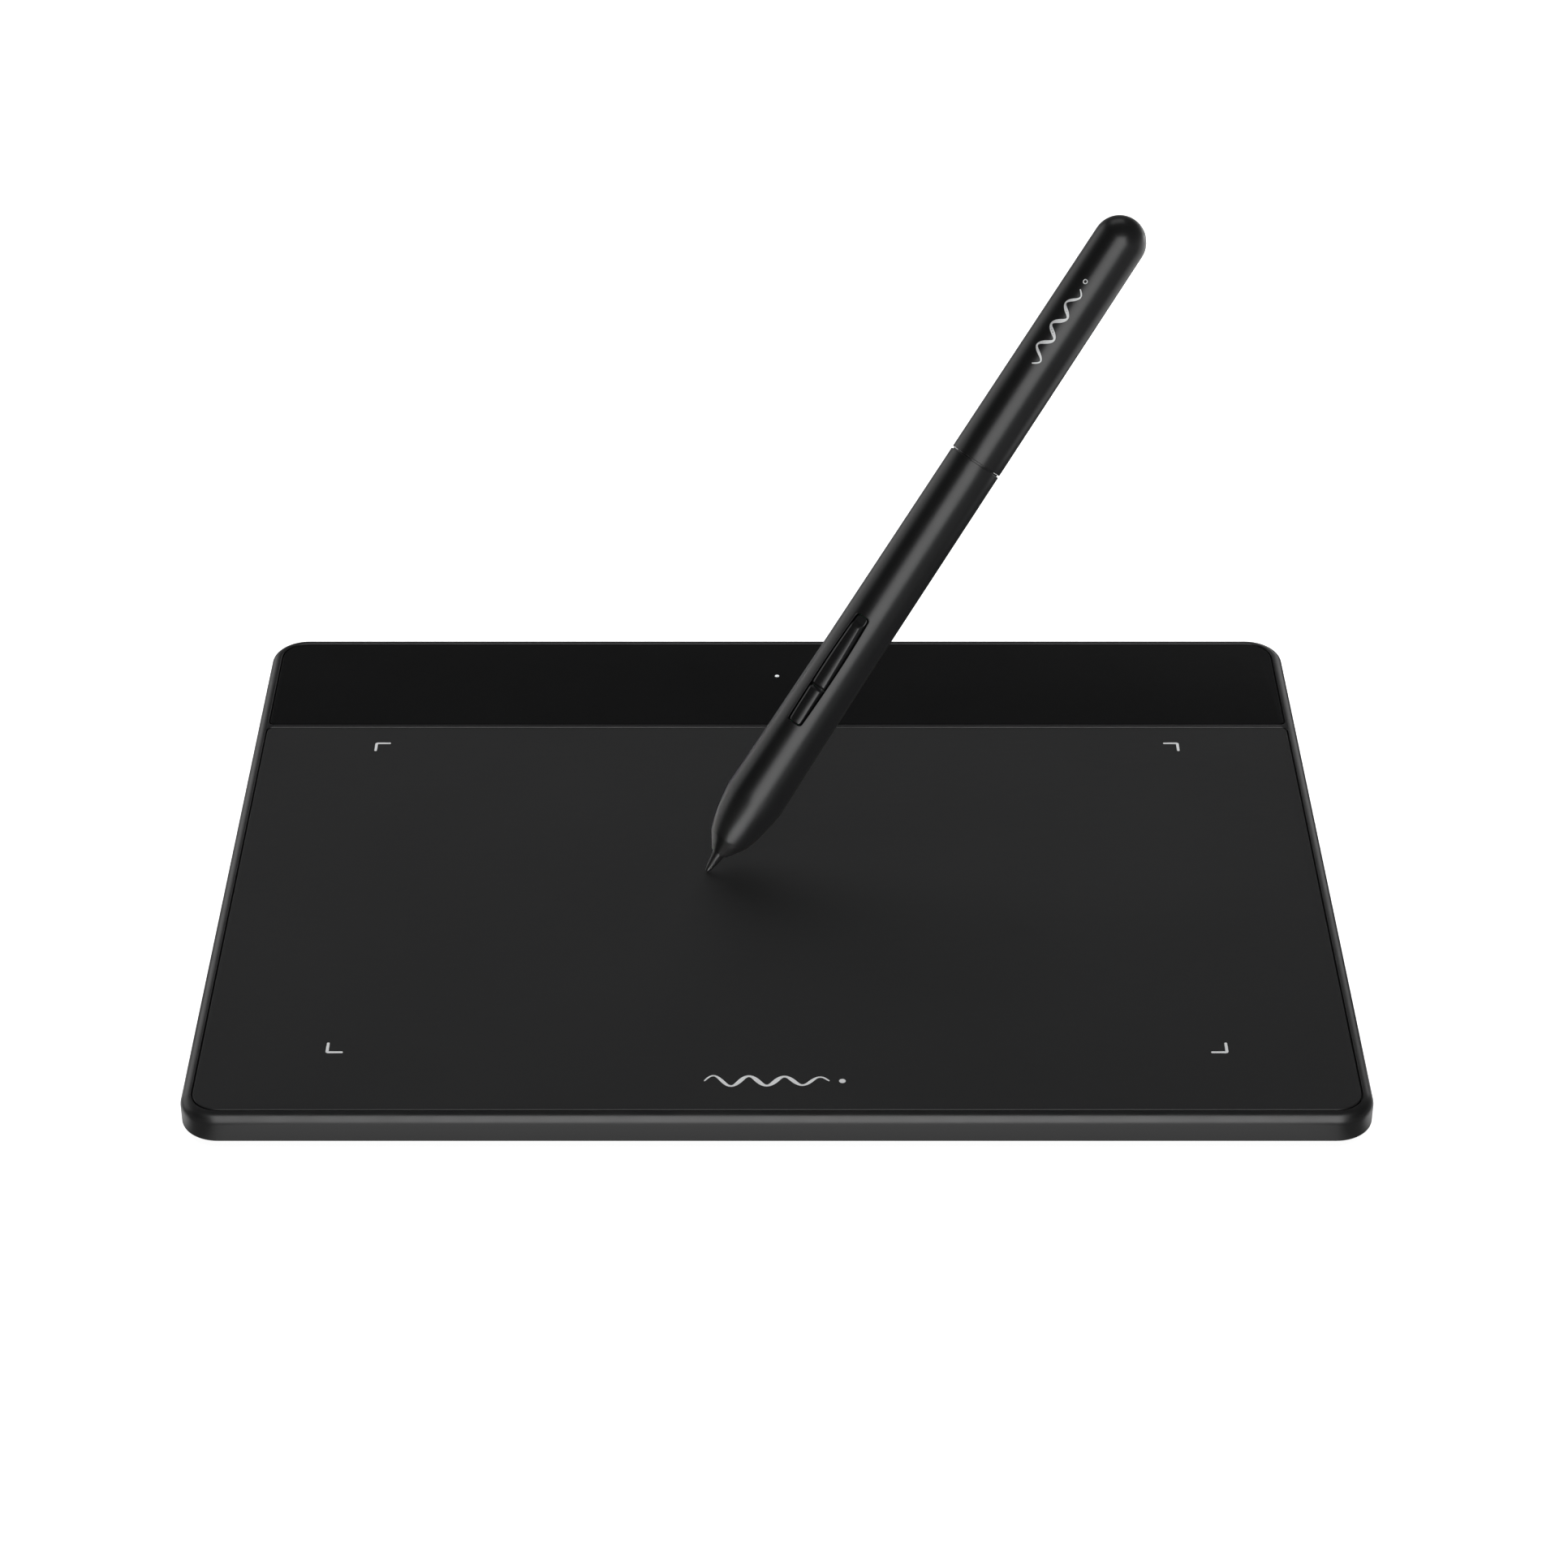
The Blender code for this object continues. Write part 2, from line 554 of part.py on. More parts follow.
def key_prism(name, low, high, inset, inner, outer, parent, finish=None):
    """A prism along X over a stretch of the key opening, drawn in by an inset on every side."""
    corner, steps = KEY_CORNER, 4
    low, high = low + inset, high - inset
    stretch = [low + corner + (high - low - 2 * corner) * k / 6 for k in range(7)]
    right = [(key_half_width(z) - inset, z) for z in stretch]
    top = arc((right[-1][0] - corner, high - corner), corner, 0, 90, steps)[1:]
    bottom = arc((right[0][0] - corner, low + corner), corner, -90, 0, steps)[:-1]
    half = bottom + right + top
    outline = half + [(-y, z) for y, z in reversed(half)]
    bm = bmesh.new()
    ends = [[bm.verts.new((x, y, z)) for y, z in outline] for x in (inner, outer)]
    for k in range(len(outline)):
        after = (k + 1) % len(outline)
        bm.faces.new((ends[0][k], ends[0][after], ends[1][after], ends[1][k]))
    bm.faces.new(ends[0])
    bm.faces.new(list(reversed(ends[1])))
    return solid(name, bm, finish, parent)


def side_keys(parent):
    """Two keys in one opening. A wider flange inside the barrel keeps each from falling out."""
    gap = KEY_GAP / 2
    spans = (
        ("pen_key_lower", KEY_LOW + gap, KEY_BREAK, KEY_LOW - 0.5 * MM, KEY_BREAK - KEY_GAP),
        ("pen_key_upper", KEY_BREAK, KEY_HIGH - gap, KEY_BREAK + KEY_GAP, KEY_HIGH + 0.5 * MM),
    )
    for name, low, high, flange_low, flange_high in spans:
        root, above = KEY_FLANGE_TOP - LAYER_GAP, KEY_CREST + OVERRUN
        key = key_prism(name, low, high, KEY_GAP / 2, root, above, parent, "key_plastic")
        crest = rod(f"{name}_crest", (0, 0), KEY_CREST, 20 * MM, 80 * MM, parent=parent, steps=PEN_STEPS)
        combine(key, crest, "INTERSECT")
        flange = block(
            f"{name}_flange", (KEY_UNDERSIDE, -KEY_FLANGE_HALF_WIDTH, flange_low),
            (KEY_FLANGE_TOP, KEY_FLANGE_HALF_WIDTH, flange_high), parent=parent,
        )
        join(key, flange)


def rear_barrel(parent):
    """The tail half: a gently tapered tube with a domed end."""
    start = PARTING + PARTING_GAP / 2
    dome = PEN_LENGTH - TAIL_RADIUS
    outer = [(start, PARTING_RADIUS)] + arc((dome, 0), TAIL_RADIUS, 90, 0, 9)
    outer[-1] = (PEN_LENGTH, 0)
    inner = [(dome - 1 * MM, 0), (dome - 1.5 * MM, 2.5 * MM), (dome - 4 * MM, PEN_BORE), (start, PEN_BORE)]
    return turned("pen_rear_barrel", outer + inner, "barrel_plastic", parent)


def joint_ring(parent):
    """The ring inside both halves of the barrel, fixed in the front one."""
    inner, outer = 3.3 * MM, 4.0 * MM
    low, high = 82.5 * MM, 102.5 * MM
    profile = [(low, outer), (high, outer), (high, inner), (low, inner)]
    return turned("pen_joint_ring", profile, "inner_plastic", parent)


def chassis(parent):
    """A trough that carries the circuit board, open towards the keys and closed at the rear."""
    low, high = 23.6 * MM, 81.5 * MM
    frame = rod("pen_chassis", (0, 0), 3.9 * MM, low, high, "inner_plastic", parent, steps=PEN_STEPS)
    floor = high - 1.5 * MM
    cut(frame, rod("trough_cutter", (0, 0), 3.2 * MM, low - OVERRUN, floor, parent=parent, steps=32))
    open_low = (0.2 * MM, -PEN_RADIUS, low - OVERRUN)
    open_high = (PEN_RADIUS, PEN_RADIUS, high + OVERRUN)
    return cut(frame, block("trough_opening_cutter", open_low, open_high, parent=parent))


def pen_electronics(parent):
    board_low, board_high = 0.5 * MM, 1.5 * MM
    near_end, far_end = (board_low, -3 * MM, 31.5 * MM), (board_high, 3 * MM, 79.5 * MM)
    block("pen_board", near_end, far_end, "board_laminate", parent)
    chip_low = (board_high + 0.1 * MM, -2 * MM, 60 * MM)
    chip_high = (board_high + 0.9 * MM, 2 * MM, 64 * MM)
    block("pen_controller_chip", chip_low, chip_high, "chip_epoxy", parent)
    for name, place in (("pen_switch_lower", 37.1 * MM), ("pen_switch_upper", 49 * MM)):
        low = (board_high + 0.1 * MM, -1.3 * MM, place - 1.5 * MM)
        high = (2.5 * MM, 1.3 * MM, place + 1.5 * MM)
        switch = block(name, low, high, "chip_epoxy", parent)
        plunger = rod(f"{name}_plunger", (0, 0), 0.7 * MM, 2.2 * MM, SWITCH_TOP, parent=parent, steps=16)
        plunger.matrix_local = Matrix.Translation((0, 0, place)) @ Matrix.Rotation(math.radians(90), 4, "Y")
        join(switch, plunger)


def nib_and_sensing(parent):
    """The nib, the holder that it plugs into, the coil around it and the sensor it presses on."""
    shoulder, shank, end = 6 * MM, 0.85 * MM, 21 * MM
    point = [(0, 0), (0.06 * MM, 0.22 * MM), (0.3 * MM, 0.45 * MM)]
    cone = bezier(point[-1], (1.8 * MM, 0.82 * MM), (NOSE, 1.25 * MM), 4)
    nib = point + cone + [(shoulder, 1.25 * MM), (shoulder, shank), (end, shank), (end, 0)]
    turned("nib", nib, "nib_plastic", parent, steps=32)

    holder_low, socket_end, disc_low, holder_end = 17.2 * MM, 21.6 * MM, 24.5 * MM, 26 * MM
    body, disc, bore = 1.9 * MM, 2.6 * MM, shank + 0.15 * MM
    holder = [
        (socket_end, 0), (socket_end, bore), (holder_low, bore), (holder_low, body),
        (disc_low, body), (disc_low, disc), (holder_end, disc), (holder_end, 0),
    ]
    turned("nib_holder", holder, "inner_plastic", parent, steps=32)

    ferrite_inner, ferrite_outer = 1.15 * MM, 2.0 * MM
    core = [
        (8.8 * MM, ferrite_outer), (16.2 * MM, ferrite_outer),
        (16.2 * MM, ferrite_inner), (8.8 * MM, ferrite_inner),
    ]
    turned("ferrite_core", core, "ferrite", parent, steps=32)
    winding_inner, winding_outer = 2.15 * MM, 2.9 * MM
    coil = [
        (10 * MM, winding_outer), (15.8 * MM, winding_outer),
        (15.8 * MM, winding_inner), (10 * MM, winding_inner),
    ]
    turned("pen_coil", coil, "coil_copper", parent, steps=32)
    rod("pressure_sensor", (0, 0), 2.9 * MM, 27 * MM, 30.5 * MM, "shield_metal", parent, steps=32)


def build_pen(frame):
    front_barrel(frame)
    rear_barrel(frame)
    joint_ring(frame)
    chassis(frame)
    side_keys(frame)
    pen_electronics(frame)
    nib_and_sensing(frame)


def main():
    clear_scene()
    build_tablet(empty("tablet_frame", Matrix.Identity(4)))
    lean = Matrix.Rotation(PEN_AZIMUTH, 4, "Z") @ Matrix.Rotation(PEN_TILT, 4, "Y")
    placed = Matrix.Translation(PEN_TIP) @ lean @ Matrix.Rotation(PEN_ROLL, 4, "Z")
    build_pen(empty("pen_frame", placed))


main()
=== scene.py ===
"""The look of a slim pen drawing tablet and its stylus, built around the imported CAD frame.

Lengths are in metres in the CAD's frame. Tablet pieces are modelled about the middle of
the housing's footprint, and stylus pieces in the stylus's own frame: Z runs from the
nib's point to the tail and +X is the way its side keys face.
"""
import json
import math

import bmesh
import bpy
from mathutils import Matrix, Vector

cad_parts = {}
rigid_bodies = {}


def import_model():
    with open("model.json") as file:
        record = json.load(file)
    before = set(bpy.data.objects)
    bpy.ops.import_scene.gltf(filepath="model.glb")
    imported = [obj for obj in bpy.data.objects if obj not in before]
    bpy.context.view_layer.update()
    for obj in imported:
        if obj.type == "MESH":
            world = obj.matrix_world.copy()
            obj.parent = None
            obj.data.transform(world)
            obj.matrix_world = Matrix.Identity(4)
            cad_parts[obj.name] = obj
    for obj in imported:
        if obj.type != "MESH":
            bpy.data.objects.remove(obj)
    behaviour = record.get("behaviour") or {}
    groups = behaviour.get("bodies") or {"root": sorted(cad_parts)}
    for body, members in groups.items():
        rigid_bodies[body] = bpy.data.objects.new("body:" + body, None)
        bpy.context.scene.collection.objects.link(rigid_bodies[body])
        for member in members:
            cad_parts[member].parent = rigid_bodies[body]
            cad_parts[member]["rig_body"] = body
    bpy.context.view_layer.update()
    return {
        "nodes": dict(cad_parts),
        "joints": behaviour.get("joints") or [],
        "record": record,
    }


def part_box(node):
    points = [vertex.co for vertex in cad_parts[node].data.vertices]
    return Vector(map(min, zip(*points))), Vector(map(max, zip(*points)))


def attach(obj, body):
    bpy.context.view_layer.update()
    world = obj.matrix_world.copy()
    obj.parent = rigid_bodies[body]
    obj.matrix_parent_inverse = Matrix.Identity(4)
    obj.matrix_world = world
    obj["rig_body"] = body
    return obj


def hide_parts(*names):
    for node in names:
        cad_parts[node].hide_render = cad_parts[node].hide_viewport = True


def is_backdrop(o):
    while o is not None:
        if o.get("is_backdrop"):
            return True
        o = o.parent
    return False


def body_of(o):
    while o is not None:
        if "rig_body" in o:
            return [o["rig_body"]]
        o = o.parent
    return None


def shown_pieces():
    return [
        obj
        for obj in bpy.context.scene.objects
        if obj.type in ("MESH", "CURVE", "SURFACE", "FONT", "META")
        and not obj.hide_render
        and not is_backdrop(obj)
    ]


MM = 0.001

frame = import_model()

# Places read from the frame

HOUSING_LOW, HOUSING_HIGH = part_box("top_housing")
TABLET_PLACE = Matrix.Translation((*((HOUSING_LOW + HOUSING_HIGH) / 2).xy, 0))
HALF_WIDTH = (HOUSING_HIGH.x - HOUSING_LOW.x) / 2
HALF_DEPTH = (HOUSING_HIGH.y - HOUSING_LOW.y) / 2
TOP = HOUSING_HIGH.z
UNDERSIDE = HOUSING_LOW.z


def tablet_box(node):
    """A node's corners, measured from the middle of the housing's footprint."""
    low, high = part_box(node)
    back = TABLET_PLACE.inverted()
    return back @ low, back @ high


def footprint_middle(node):
    low, high = tablet_box(node)
    return (low.x + high.x) / 2, (low.y + high.y) / 2


SHEET_LOW, SHEET_HIGH = tablet_box("drawing_sheet")
PANEL_LOW, PANEL_HIGH = tablet_box("top_panel")
SOCKET_LOW, SOCKET_HIGH = tablet_box("usb_socket_shell")


def joint_axis(name):
    found = next(j for j in frame["joints"] if j["name"] == name)
    return Vector(found["axis"]).normalized()


def stylus_place():
    """The stylus's own frame: its origin is the nib's point."""
    along = joint_axis("nib_press")
    outward = -joint_axis("lower_key_press")
    outward = (outward - along * outward.dot(along)).normalized()
    side = along.cross(outward)
    point = min((v.co for v in frame["nodes"]["nib"].data.vertices), key=lambda co: co.dot(along))
    place = Matrix((outward, side, along)).transposed().to_4x4()
    place.translation = point
    return place


STYLUS_PLACE = stylus_place()


def reach(node):
    """A node's nearest and farthest distance along the stylus from the nib's point."""
    back = STYLUS_PLACE.inverted()
    places = [(back @ v.co).z for v in frame["nodes"][node].data.vertices]
    return min(places), max(places)


# Sizes of the fine shapes

CORNER_RADIUS = 7.1 * MM
TOP_FILLET = 2.0 * MM
SIDE_WALL_LOW = 1.95 * MM
HOUSING_WALL = 2.4 * MM
CAVITY_CEILING = 5.1 * MM
RECESS_FLOOR = 6.3 * MM
RIM_GAP = 0.25 * MM
DIVIDER_GAP = 0.13 * MM
LIP = 0.20 * MM
DIVIDER_LIP, PANEL_LIP = 0.22 * MM, 0.08 * MM
FREE_CORNER = 4.9 * MM
DIVIDER_CORNER = 1.3 * MM
SHEET_EDGE = 0.28 * MM
BOSS_RADIUS = 3.0 * MM
BOSS_LOW = 2.8 * MM
PILOT_RADIUS = 1.15 * MM
LIGHT_HOLE_RADIUS, LIGHT_CLEARANCE_RADIUS = 1.3 * MM, 0.6 * MM

NOSE = 4.2 * MM
NOSE_RADIUS = 1.6 * MM
CONE_END = (7.3 * MM, 3.68 * MM)
SWELL = (16.7 * MM, 5.79 * MM)
GRIP_END = 46.8 * MM
GRIP_RADIUS, PARTING_RADIUS, TAIL_RADIUS = 5.35 * MM, 5.19 * MM, 5.03 * MM
COLLAR_RADIUS, COLLAR_LENGTH = 4.86 * MM, 0.31 * MM
BORE = 4.2 * MM
NIB_HOLE = 1.33 * MM
EDGE_ROUND = 0.10 * MM
STYLUS_STEPS = 128

KEY_LOW, KEY_BREAK, KEY_HIGH = 33.1 * MM, 41.1 * MM, 56.9 * MM
KEY_HALF_WIDTH = 1.78 * MM
KEY_LOW_HALF_WIDTH, KEY_HIGH_HALF_WIDTH = 1.56 * MM, 1.44 * MM
KEY_CORNER = 0.65 * MM
KEY_GAP = 0.12 * MM
RIGHT_RIDGE = [
    (33.0 * MM, 1.25 * MM), (41.0 * MM, 1.02 * MM), (41.2 * MM, 1.30 * MM), (48.3 * MM, 1.03 * MM),
    (54.7 * MM, 0.72 * MM), (55.6 * MM, 1.20 * MM),
]
RIGHT_DROP = 0.17 * MM
LEFT_FLANK = 0.36 * MM
SLOPE_START, SLOPE_DEPTH = 54.6 * MM, 0.60 * MM


# Outlines and profiles


def arc(centre, radius, start, end, steps):
    """Points of an arc from start to end, in degrees, both ends included."""
    turn = [math.radians(start + (end - start) * k / steps) for k in range(steps + 1)]
    return [(centre[0] + radius * math.cos(a), centre[1] + radius * math.sin(a)) for a in turn]


def bezier(start, control, end, steps):
    """Points of a quadratic curve, without its first one."""
    points = []
    for k in range(1, steps + 1):
        u = k / steps
        p, q, r = (1 - u) ** 2, 2 * u * (1 - u), u * u
        points.append(tuple(p * a + q * b + r * c for a, b, c in zip(start, control, end)))
    return points


def straight(start, end, steps):
    """Evenly spaced points of a straight line, without its first one."""
    return [tuple(a + (b - a) * k / steps for a, b in zip(start, end)) for k in range(1, steps + 1)]


def rounded_rectangle(left, right, near, far, near_radius, far_radius, steps=20):
    """An anticlockwise outline with one radius at its near corners and one at its far corners."""
    return (
        arc((right - near_radius, near + near_radius), near_radius, -90, 0, steps)
        + arc((right - far_radius, far - far_radius), far_radius, 0, 90, steps)
        + arc((left + far_radius, far - far_radius), far_radius, 90, 180, steps)
        + arc((left + near_radius, near + near_radius), near_radius, 180, 270, steps)
    )


def body_outline(inset):
    half_width, half_depth = HALF_WIDTH - inset, HALF_DEPTH - inset
    radius = CORNER_RADIUS - inset
    return rounded_rectangle(-half_width, half_width, -half_depth, half_depth, radius, radius)


def sheet_outline(grow, divider):
    """The sheet's outline, grown by one amount on its free sides and another along the divider."""
    return rounded_rectangle(
        SHEET_LOW.x - grow, SHEET_HIGH.x + grow, SHEET_LOW.y - grow, SHEET_HIGH.y + divider,
        FREE_CORNER + grow, DIVIDER_CORNER + divider,
    )


def panel_outline(grow, divider):
    return rounded_rectangle(
        PANEL_LOW.x - grow, PANEL_HIGH.x + grow, PANEL_LOW.y - divider, PANEL_HIGH.y + grow,
        DIVIDER_CORNER + divider, FREE_CORNER + grow,
    )


def stadium(width, height, steps=16):
    """A slot shape, wider than it is high, centred on the origin."""
    radius = height / 2
    straight = width / 2 - radius
    return arc((straight, 0), radius, -90, 90, steps) + arc((-straight, 0), radius, 90, 270, steps)


def between(table, place):
    """Straight-line interpolation in a table of (place, value) pairs."""
    for (low, a), (high, b) in zip(table, table[1:]):
        if place <= high:
            share = (place - low) / (high - low) if high > low else 0.0
            return a + (b - a) * min(max(share, 0.0), 1.0)
    return table[-1][1]


def ease(share):
    share = min(max(share, 0.0), 1.0)
    return share * share * (3 - 2 * share)


# Materials


class Nodes:
    """Short ways to add and join the nodes of a tree."""

    def __init__(self, tree, coordinates):
        self.tree = tree
        self.place = self.node("ShaderNodeTexCoord").outputs[coordinates]

    def node(self, kind, **settings):
        made = self.tree.nodes.new(kind)
        for key, value in settings.items():
            setattr(made, key, value)
        return made

    def join(self, output, target):
        self.tree.links.new(output, target)

    def noise(self, size, detail=2.0, stretch=(1.0, 1.0, 1.0)):
        """Noise whose features are about this size."""
        mapping = self.node("ShaderNodeMapping")
        mapping.inputs["Scale"].default_value = stretch
        self.join(self.place, mapping.inputs["Vector"])
        made = self.node("ShaderNodeTexNoise")
        made.inputs["Scale"].default_value = 1.0 / size
        made.inputs["Detail"].default_value = detail
        self.join(mapping.outputs["Vector"], made.inputs["Vector"])
        return made.outputs["Fac"]

    def span(self, value, low, high, start=0.3, end=0.7, **settings):
        """Takes a value from start..end to low..high."""
        made = self.node("ShaderNodeMapRange", clamp=True, **settings)
        for name, number in (("From Min", start), ("From Max", end), ("To Min", low), ("To Max", high)):
            made.inputs[name].default_value = number
        self.join(value, made.inputs["Value"])
        return made.outputs["Result"]

    def maths(self, operation, *values):
        made = self.node("ShaderNodeMath", operation=operation)
        for value, target in zip(values, made.inputs):
            self.join(value, target)
        return made.outputs["Value"]

    def axes(self, vector):
        made = self.node("ShaderNodeSeparateXYZ")
        self.join(vector, made.inputs["Vector"])
        return made.outputs

    def blend(self, share, one, other, kind="RGBA"):
        """Between two colours, or two numbers if the kind is FLOAT. Either may be an output."""
        made = self.node("ShaderNodeMix", data_type=kind)
        self.join(share, made.inputs["Factor"])
        first, result = (6, 2) if kind == "RGBA" else (2, 0)
        for given, target in zip((one, other), made.inputs[first:]):
            if isinstance(given, tuple):
                target.default_value = (*given, 1.0)
            elif isinstance(given, float):
                target.default_value = given
            else:
                self.join(given, target)
        return made.outputs[result]


class Finish(Nodes):
    """A material, its shader and the mottled colour that most of them have."""

    def __init__(self, name):
        self.material = bpy.data.materials.new(name)
        self.material["finish"] = name
        self.material.use_nodes = True
        super().__init__(self.material.node_tree, "Object")
        self.shader = self.tree.nodes["Principled BSDF"]

    def feed(self, name, output):
        self.join(output, self.shader.inputs[name])

    def colour(self, pattern, one, other):
        """A base colour that goes from one to the other with the pattern."""
        base = self.blend(self.span(pattern, 0.0, 1.0), one, other)
        self.feed("Base Color", base)
        return base

    def relief(self, height, depth):
        made = self.node("ShaderNodeBump")
        made.inputs["Strength"].default_value = 1.0
        made.inputs["Distance"].default_value = depth
        self.join(height, made.inputs["Height"])
        self.join(made.outputs["Normal"], self.shader.inputs["Normal"])

    def set(self, **values):
        for name, value in values.items():
            self.shader.inputs[name.replace("_", " ")].default_value = value


def shade(colour, factor):
    return tuple(min(1.0, c * factor) for c in colour)


def moulded(name, colour, roughness, grain, depth, mottle=0.08, swing=0.04, edge_wear_and_highlight=0.0, specular=0.5):
    """Moulded plastic: a fine eroded grain, faint clouds in colour and gloss, and paler sharp edges that
    are part wear and part painted highlight.

    grain and depth are the grain's size and depth in millimetres.
    """
    finish = Finish(name)
    clouds = finish.noise(14 * MM, 3.0)
    base = finish.colour(clouds, shade(colour, 1 - mottle), shade(colour, 1 + mottle))
    # Sharp convex edges, found by pointiness, are paled up to 2.2 times the colour. This is part edge
    # wear and part a painted highlight on the edges.
    if edge_wear_and_highlight:
        edges = finish.node("ShaderNodeNewGeometry").outputs["Pointiness"]
        worn = finish.span(edges, 0.0, edge_wear_and_highlight, 0.52, 0.62)
        finish.feed("Base Color", finish.blend(worn, base, shade(colour, 2.2)))
    handled = finish.noise(5 * MM, 4.0)
    finish.feed("Roughness", finish.span(handled, roughness - swing, roughness + swing))
    finish.relief(finish.noise(grain * MM, 2.0), depth * MM)
    finish.set(Specular_IOR_Level=specular)
    return finish.material


def drawing_film(name):
    """The sheet's matt film: a paper-like tooth, rubbed by drawing, and a glossier cut edge."""
    colour = (0.0240, 0.0241, 0.0245)
    finish = Finish(name)
    finish.colour(finish.noise(45 * MM, 3.0), shade(colour, 0.96), shade(colour, 1.04))
    rubbed = finish.span(finish.noise(30 * MM, 2.0), 0.55, 0.62)
    strokes = finish.span(finish.noise(1.2 * MM, 3.0, (0.25, 1.0, 1.0)), -0.015, 0.015)
    facing = finish.axes(finish.node("ShaderNodeNewGeometry").outputs["Normal"])
    cut_edge = finish.span(facing["Z"], 1.0, 0.0, 0.75, 0.95)
    finish.feed("Roughness", finish.blend(cut_edge, finish.maths("ADD", rubbed, strokes), 0.30, "FLOAT"))
    finish.feed("Specular IOR Level", finish.span(cut_edge, 0.08, 0.30, 0.0, 1.0))
    finish.relief(finish.noise(0.09 * MM, 2.0), 0.0025 * MM)
    return finish.material


def printed_ink(name):
    """Pale screen-printed ink, slightly uneven where it sits on the tooth of the film."""
    finish = Finish(name)
    cover = finish.noise(0.12 * MM, 2.0)
    finish.colour(cover, (0.72, 0.73, 0.74), (0.94, 0.95, 0.95))
    finish.feed("Roughness", finish.span(cover, 0.65, 0.45))
    finish.relief(cover, 0.002 * MM)
    return finish.material


def light_window(name):
    """The light pipe's cloudy plastic, lit from behind."""
    finish = Finish(name)
    swirl = finish.noise(0.4 * MM, 2.0)
    finish.feed("Emission Color", finish.colour(swirl, (0.80, 0.84, 0.86), (0.92, 0.94, 0.95)))
    finish.feed("Roughness", finish.span(swirl, 0.18, 0.30))
    finish.set(Emission_Strength=0.3)
    return finish.material


def metal(name, colour, roughness, stretch=(1.0, 1.0, 1.0), depth=0.002 * MM):
    """Plain or brushed metal, with the brushing drawn out along the axis whose stretch is least."""
    finish = Finish(name)
    lines = finish.noise(0.15 * MM, 3.0, stretch)
    finish.colour(lines, shade(colour, 0.88), shade(colour, 1.06))
    finish.feed("Roughness", finish.span(lines, roughness - 0.06, roughness + 0.08))
    finish.relief(lines, depth)
    finish.set(Metallic=1.0)
    return finish.material


def laminate(finish_name):
    """Green solder mask over faint copper tracks."""
    finish = Finish(finish_name)
    brick = finish.node("ShaderNodeTexBrick")
    pattern = {
        "Scale": 1.0 / (9 * MM),
        "Mortar Size": 0.02,
        "Color1": (0.008, 0.070, 0.032, 1.0),
        "Color2": (0.009, 0.080, 0.036, 1.0),
        "Mortar": (0.020, 0.130, 0.060, 1.0),
    }
    for name, value in pattern.items():
        brick.inputs[name].default_value = value
    finish.join(finish.place, brick.inputs["Vector"])
    finish.feed("Base Color", brick.outputs["Color"])
    finish.feed("Roughness", finish.span(finish.noise(2 * MM), 0.32, 0.50))
    finish.relief(brick.outputs["Fac"], 0.02 * MM)
    return finish.material


def winding(name):
    """Enamelled copper wire wound round the stylus's axis."""
    finish = Finish(name)
    turns = finish.node("ShaderNodeTexNoise", noise_dimensions="1D")
    along = finish.node("ShaderNodeVectorMath", operation="DOT_PRODUCT")
    along.inputs[1].default_value = STYLUS_PLACE.col[2].to_3d()
    finish.join(finish.place, along.inputs[0])
    finish.join(along.outputs["Value"], turns.inputs["W"])
    turns.inputs["Scale"].default_value = 1.0 / (0.12 * MM)
    finish.feed("Base Color", finish.blend(turns.outputs["Fac"], (0.42, 0.16, 0.06), (0.80, 0.38, 0.18)))
    finish.feed("Roughness", finish.span(turns.outputs["Fac"], 0.25, 0.40))
    finish.relief(turns.outputs["Fac"], 0.04 * MM)
    finish.set(Metallic=1.0)
    return finish.material


def make_materials():
    plastics = [
        # name, colour, roughness, grain's size and depth in mm, mottle, swing, edge wear and painted
        # edge highlight, specular
        ("housing_plastic", (0.0125, 0.0126, 0.0130), 0.33, 0.22, 0.0012, 0.06, 0.03, 0.5, 0.62),
        ("cover_plastic", (0.030, 0.031, 0.033), 0.55, 0.22, 0.012, 0.08, 0.05, 0.5),
        ("panel_plastic", (0.0060, 0.0061, 0.0063), 0.50, 0.20, 0.0010, 0.05, 0.03, 0.0, 0.06),
        ("foot_rubber", (0.014, 0.014, 0.014), 0.85, 0.15, 0.015, 0.15, 0.06),
        ("chip_epoxy", (0.015, 0.015, 0.016), 0.55, 0.08, 0.006, 0.10),
        ("barrel_plastic", (0.0080, 0.0081, 0.0084), 0.31, 0.24, 0.0013, 0.06, 0.02, 0.3),
        ("key_plastic", (0.0075, 0.0076, 0.0080), 0.29, 0.22, 0.0010, 0.06, 0.03, 0.3),
        ("nib_plastic", (0.0060, 0.0060, 0.0064), 0.30, 0.20, 0.0008, 0.10, 0.04),
        ("inner_plastic", (0.16, 0.16, 0.17), 0.55, 0.20, 0.008, 0.06),
        ("ferrite", (0.045, 0.045, 0.050), 0.60, 0.10, 0.010, 0.15),
    ]
    made = [moulded(*settings) for settings in plastics] + [
        drawing_film("sheet_film"),
        printed_ink("printed_ink"),
        light_window("light_plastic"),
        metal("screw_steel", (0.10, 0.10, 0.11), 0.36),
        metal("socket_steel", (0.55, 0.55, 0.56), 0.28, (1.0, 0.1, 1.0)),
        metal("shield_metal", (0.60, 0.61, 0.62), 0.35, (0.05, 1.0, 1.0)),
        metal("contact_gold", (0.85, 0.62, 0.28), 0.25),
        laminate("board_laminate"),
        winding("coil_copper"),
    ]
    return {material["finish"]: material for material in made}


MATERIALS = make_materials()


# Making pieces


def link(name, data, place):
    obj = bpy.data.objects.new(name, data)
    bpy.context.scene.collection.objects.link(obj)
    obj.matrix_world = place
    return obj


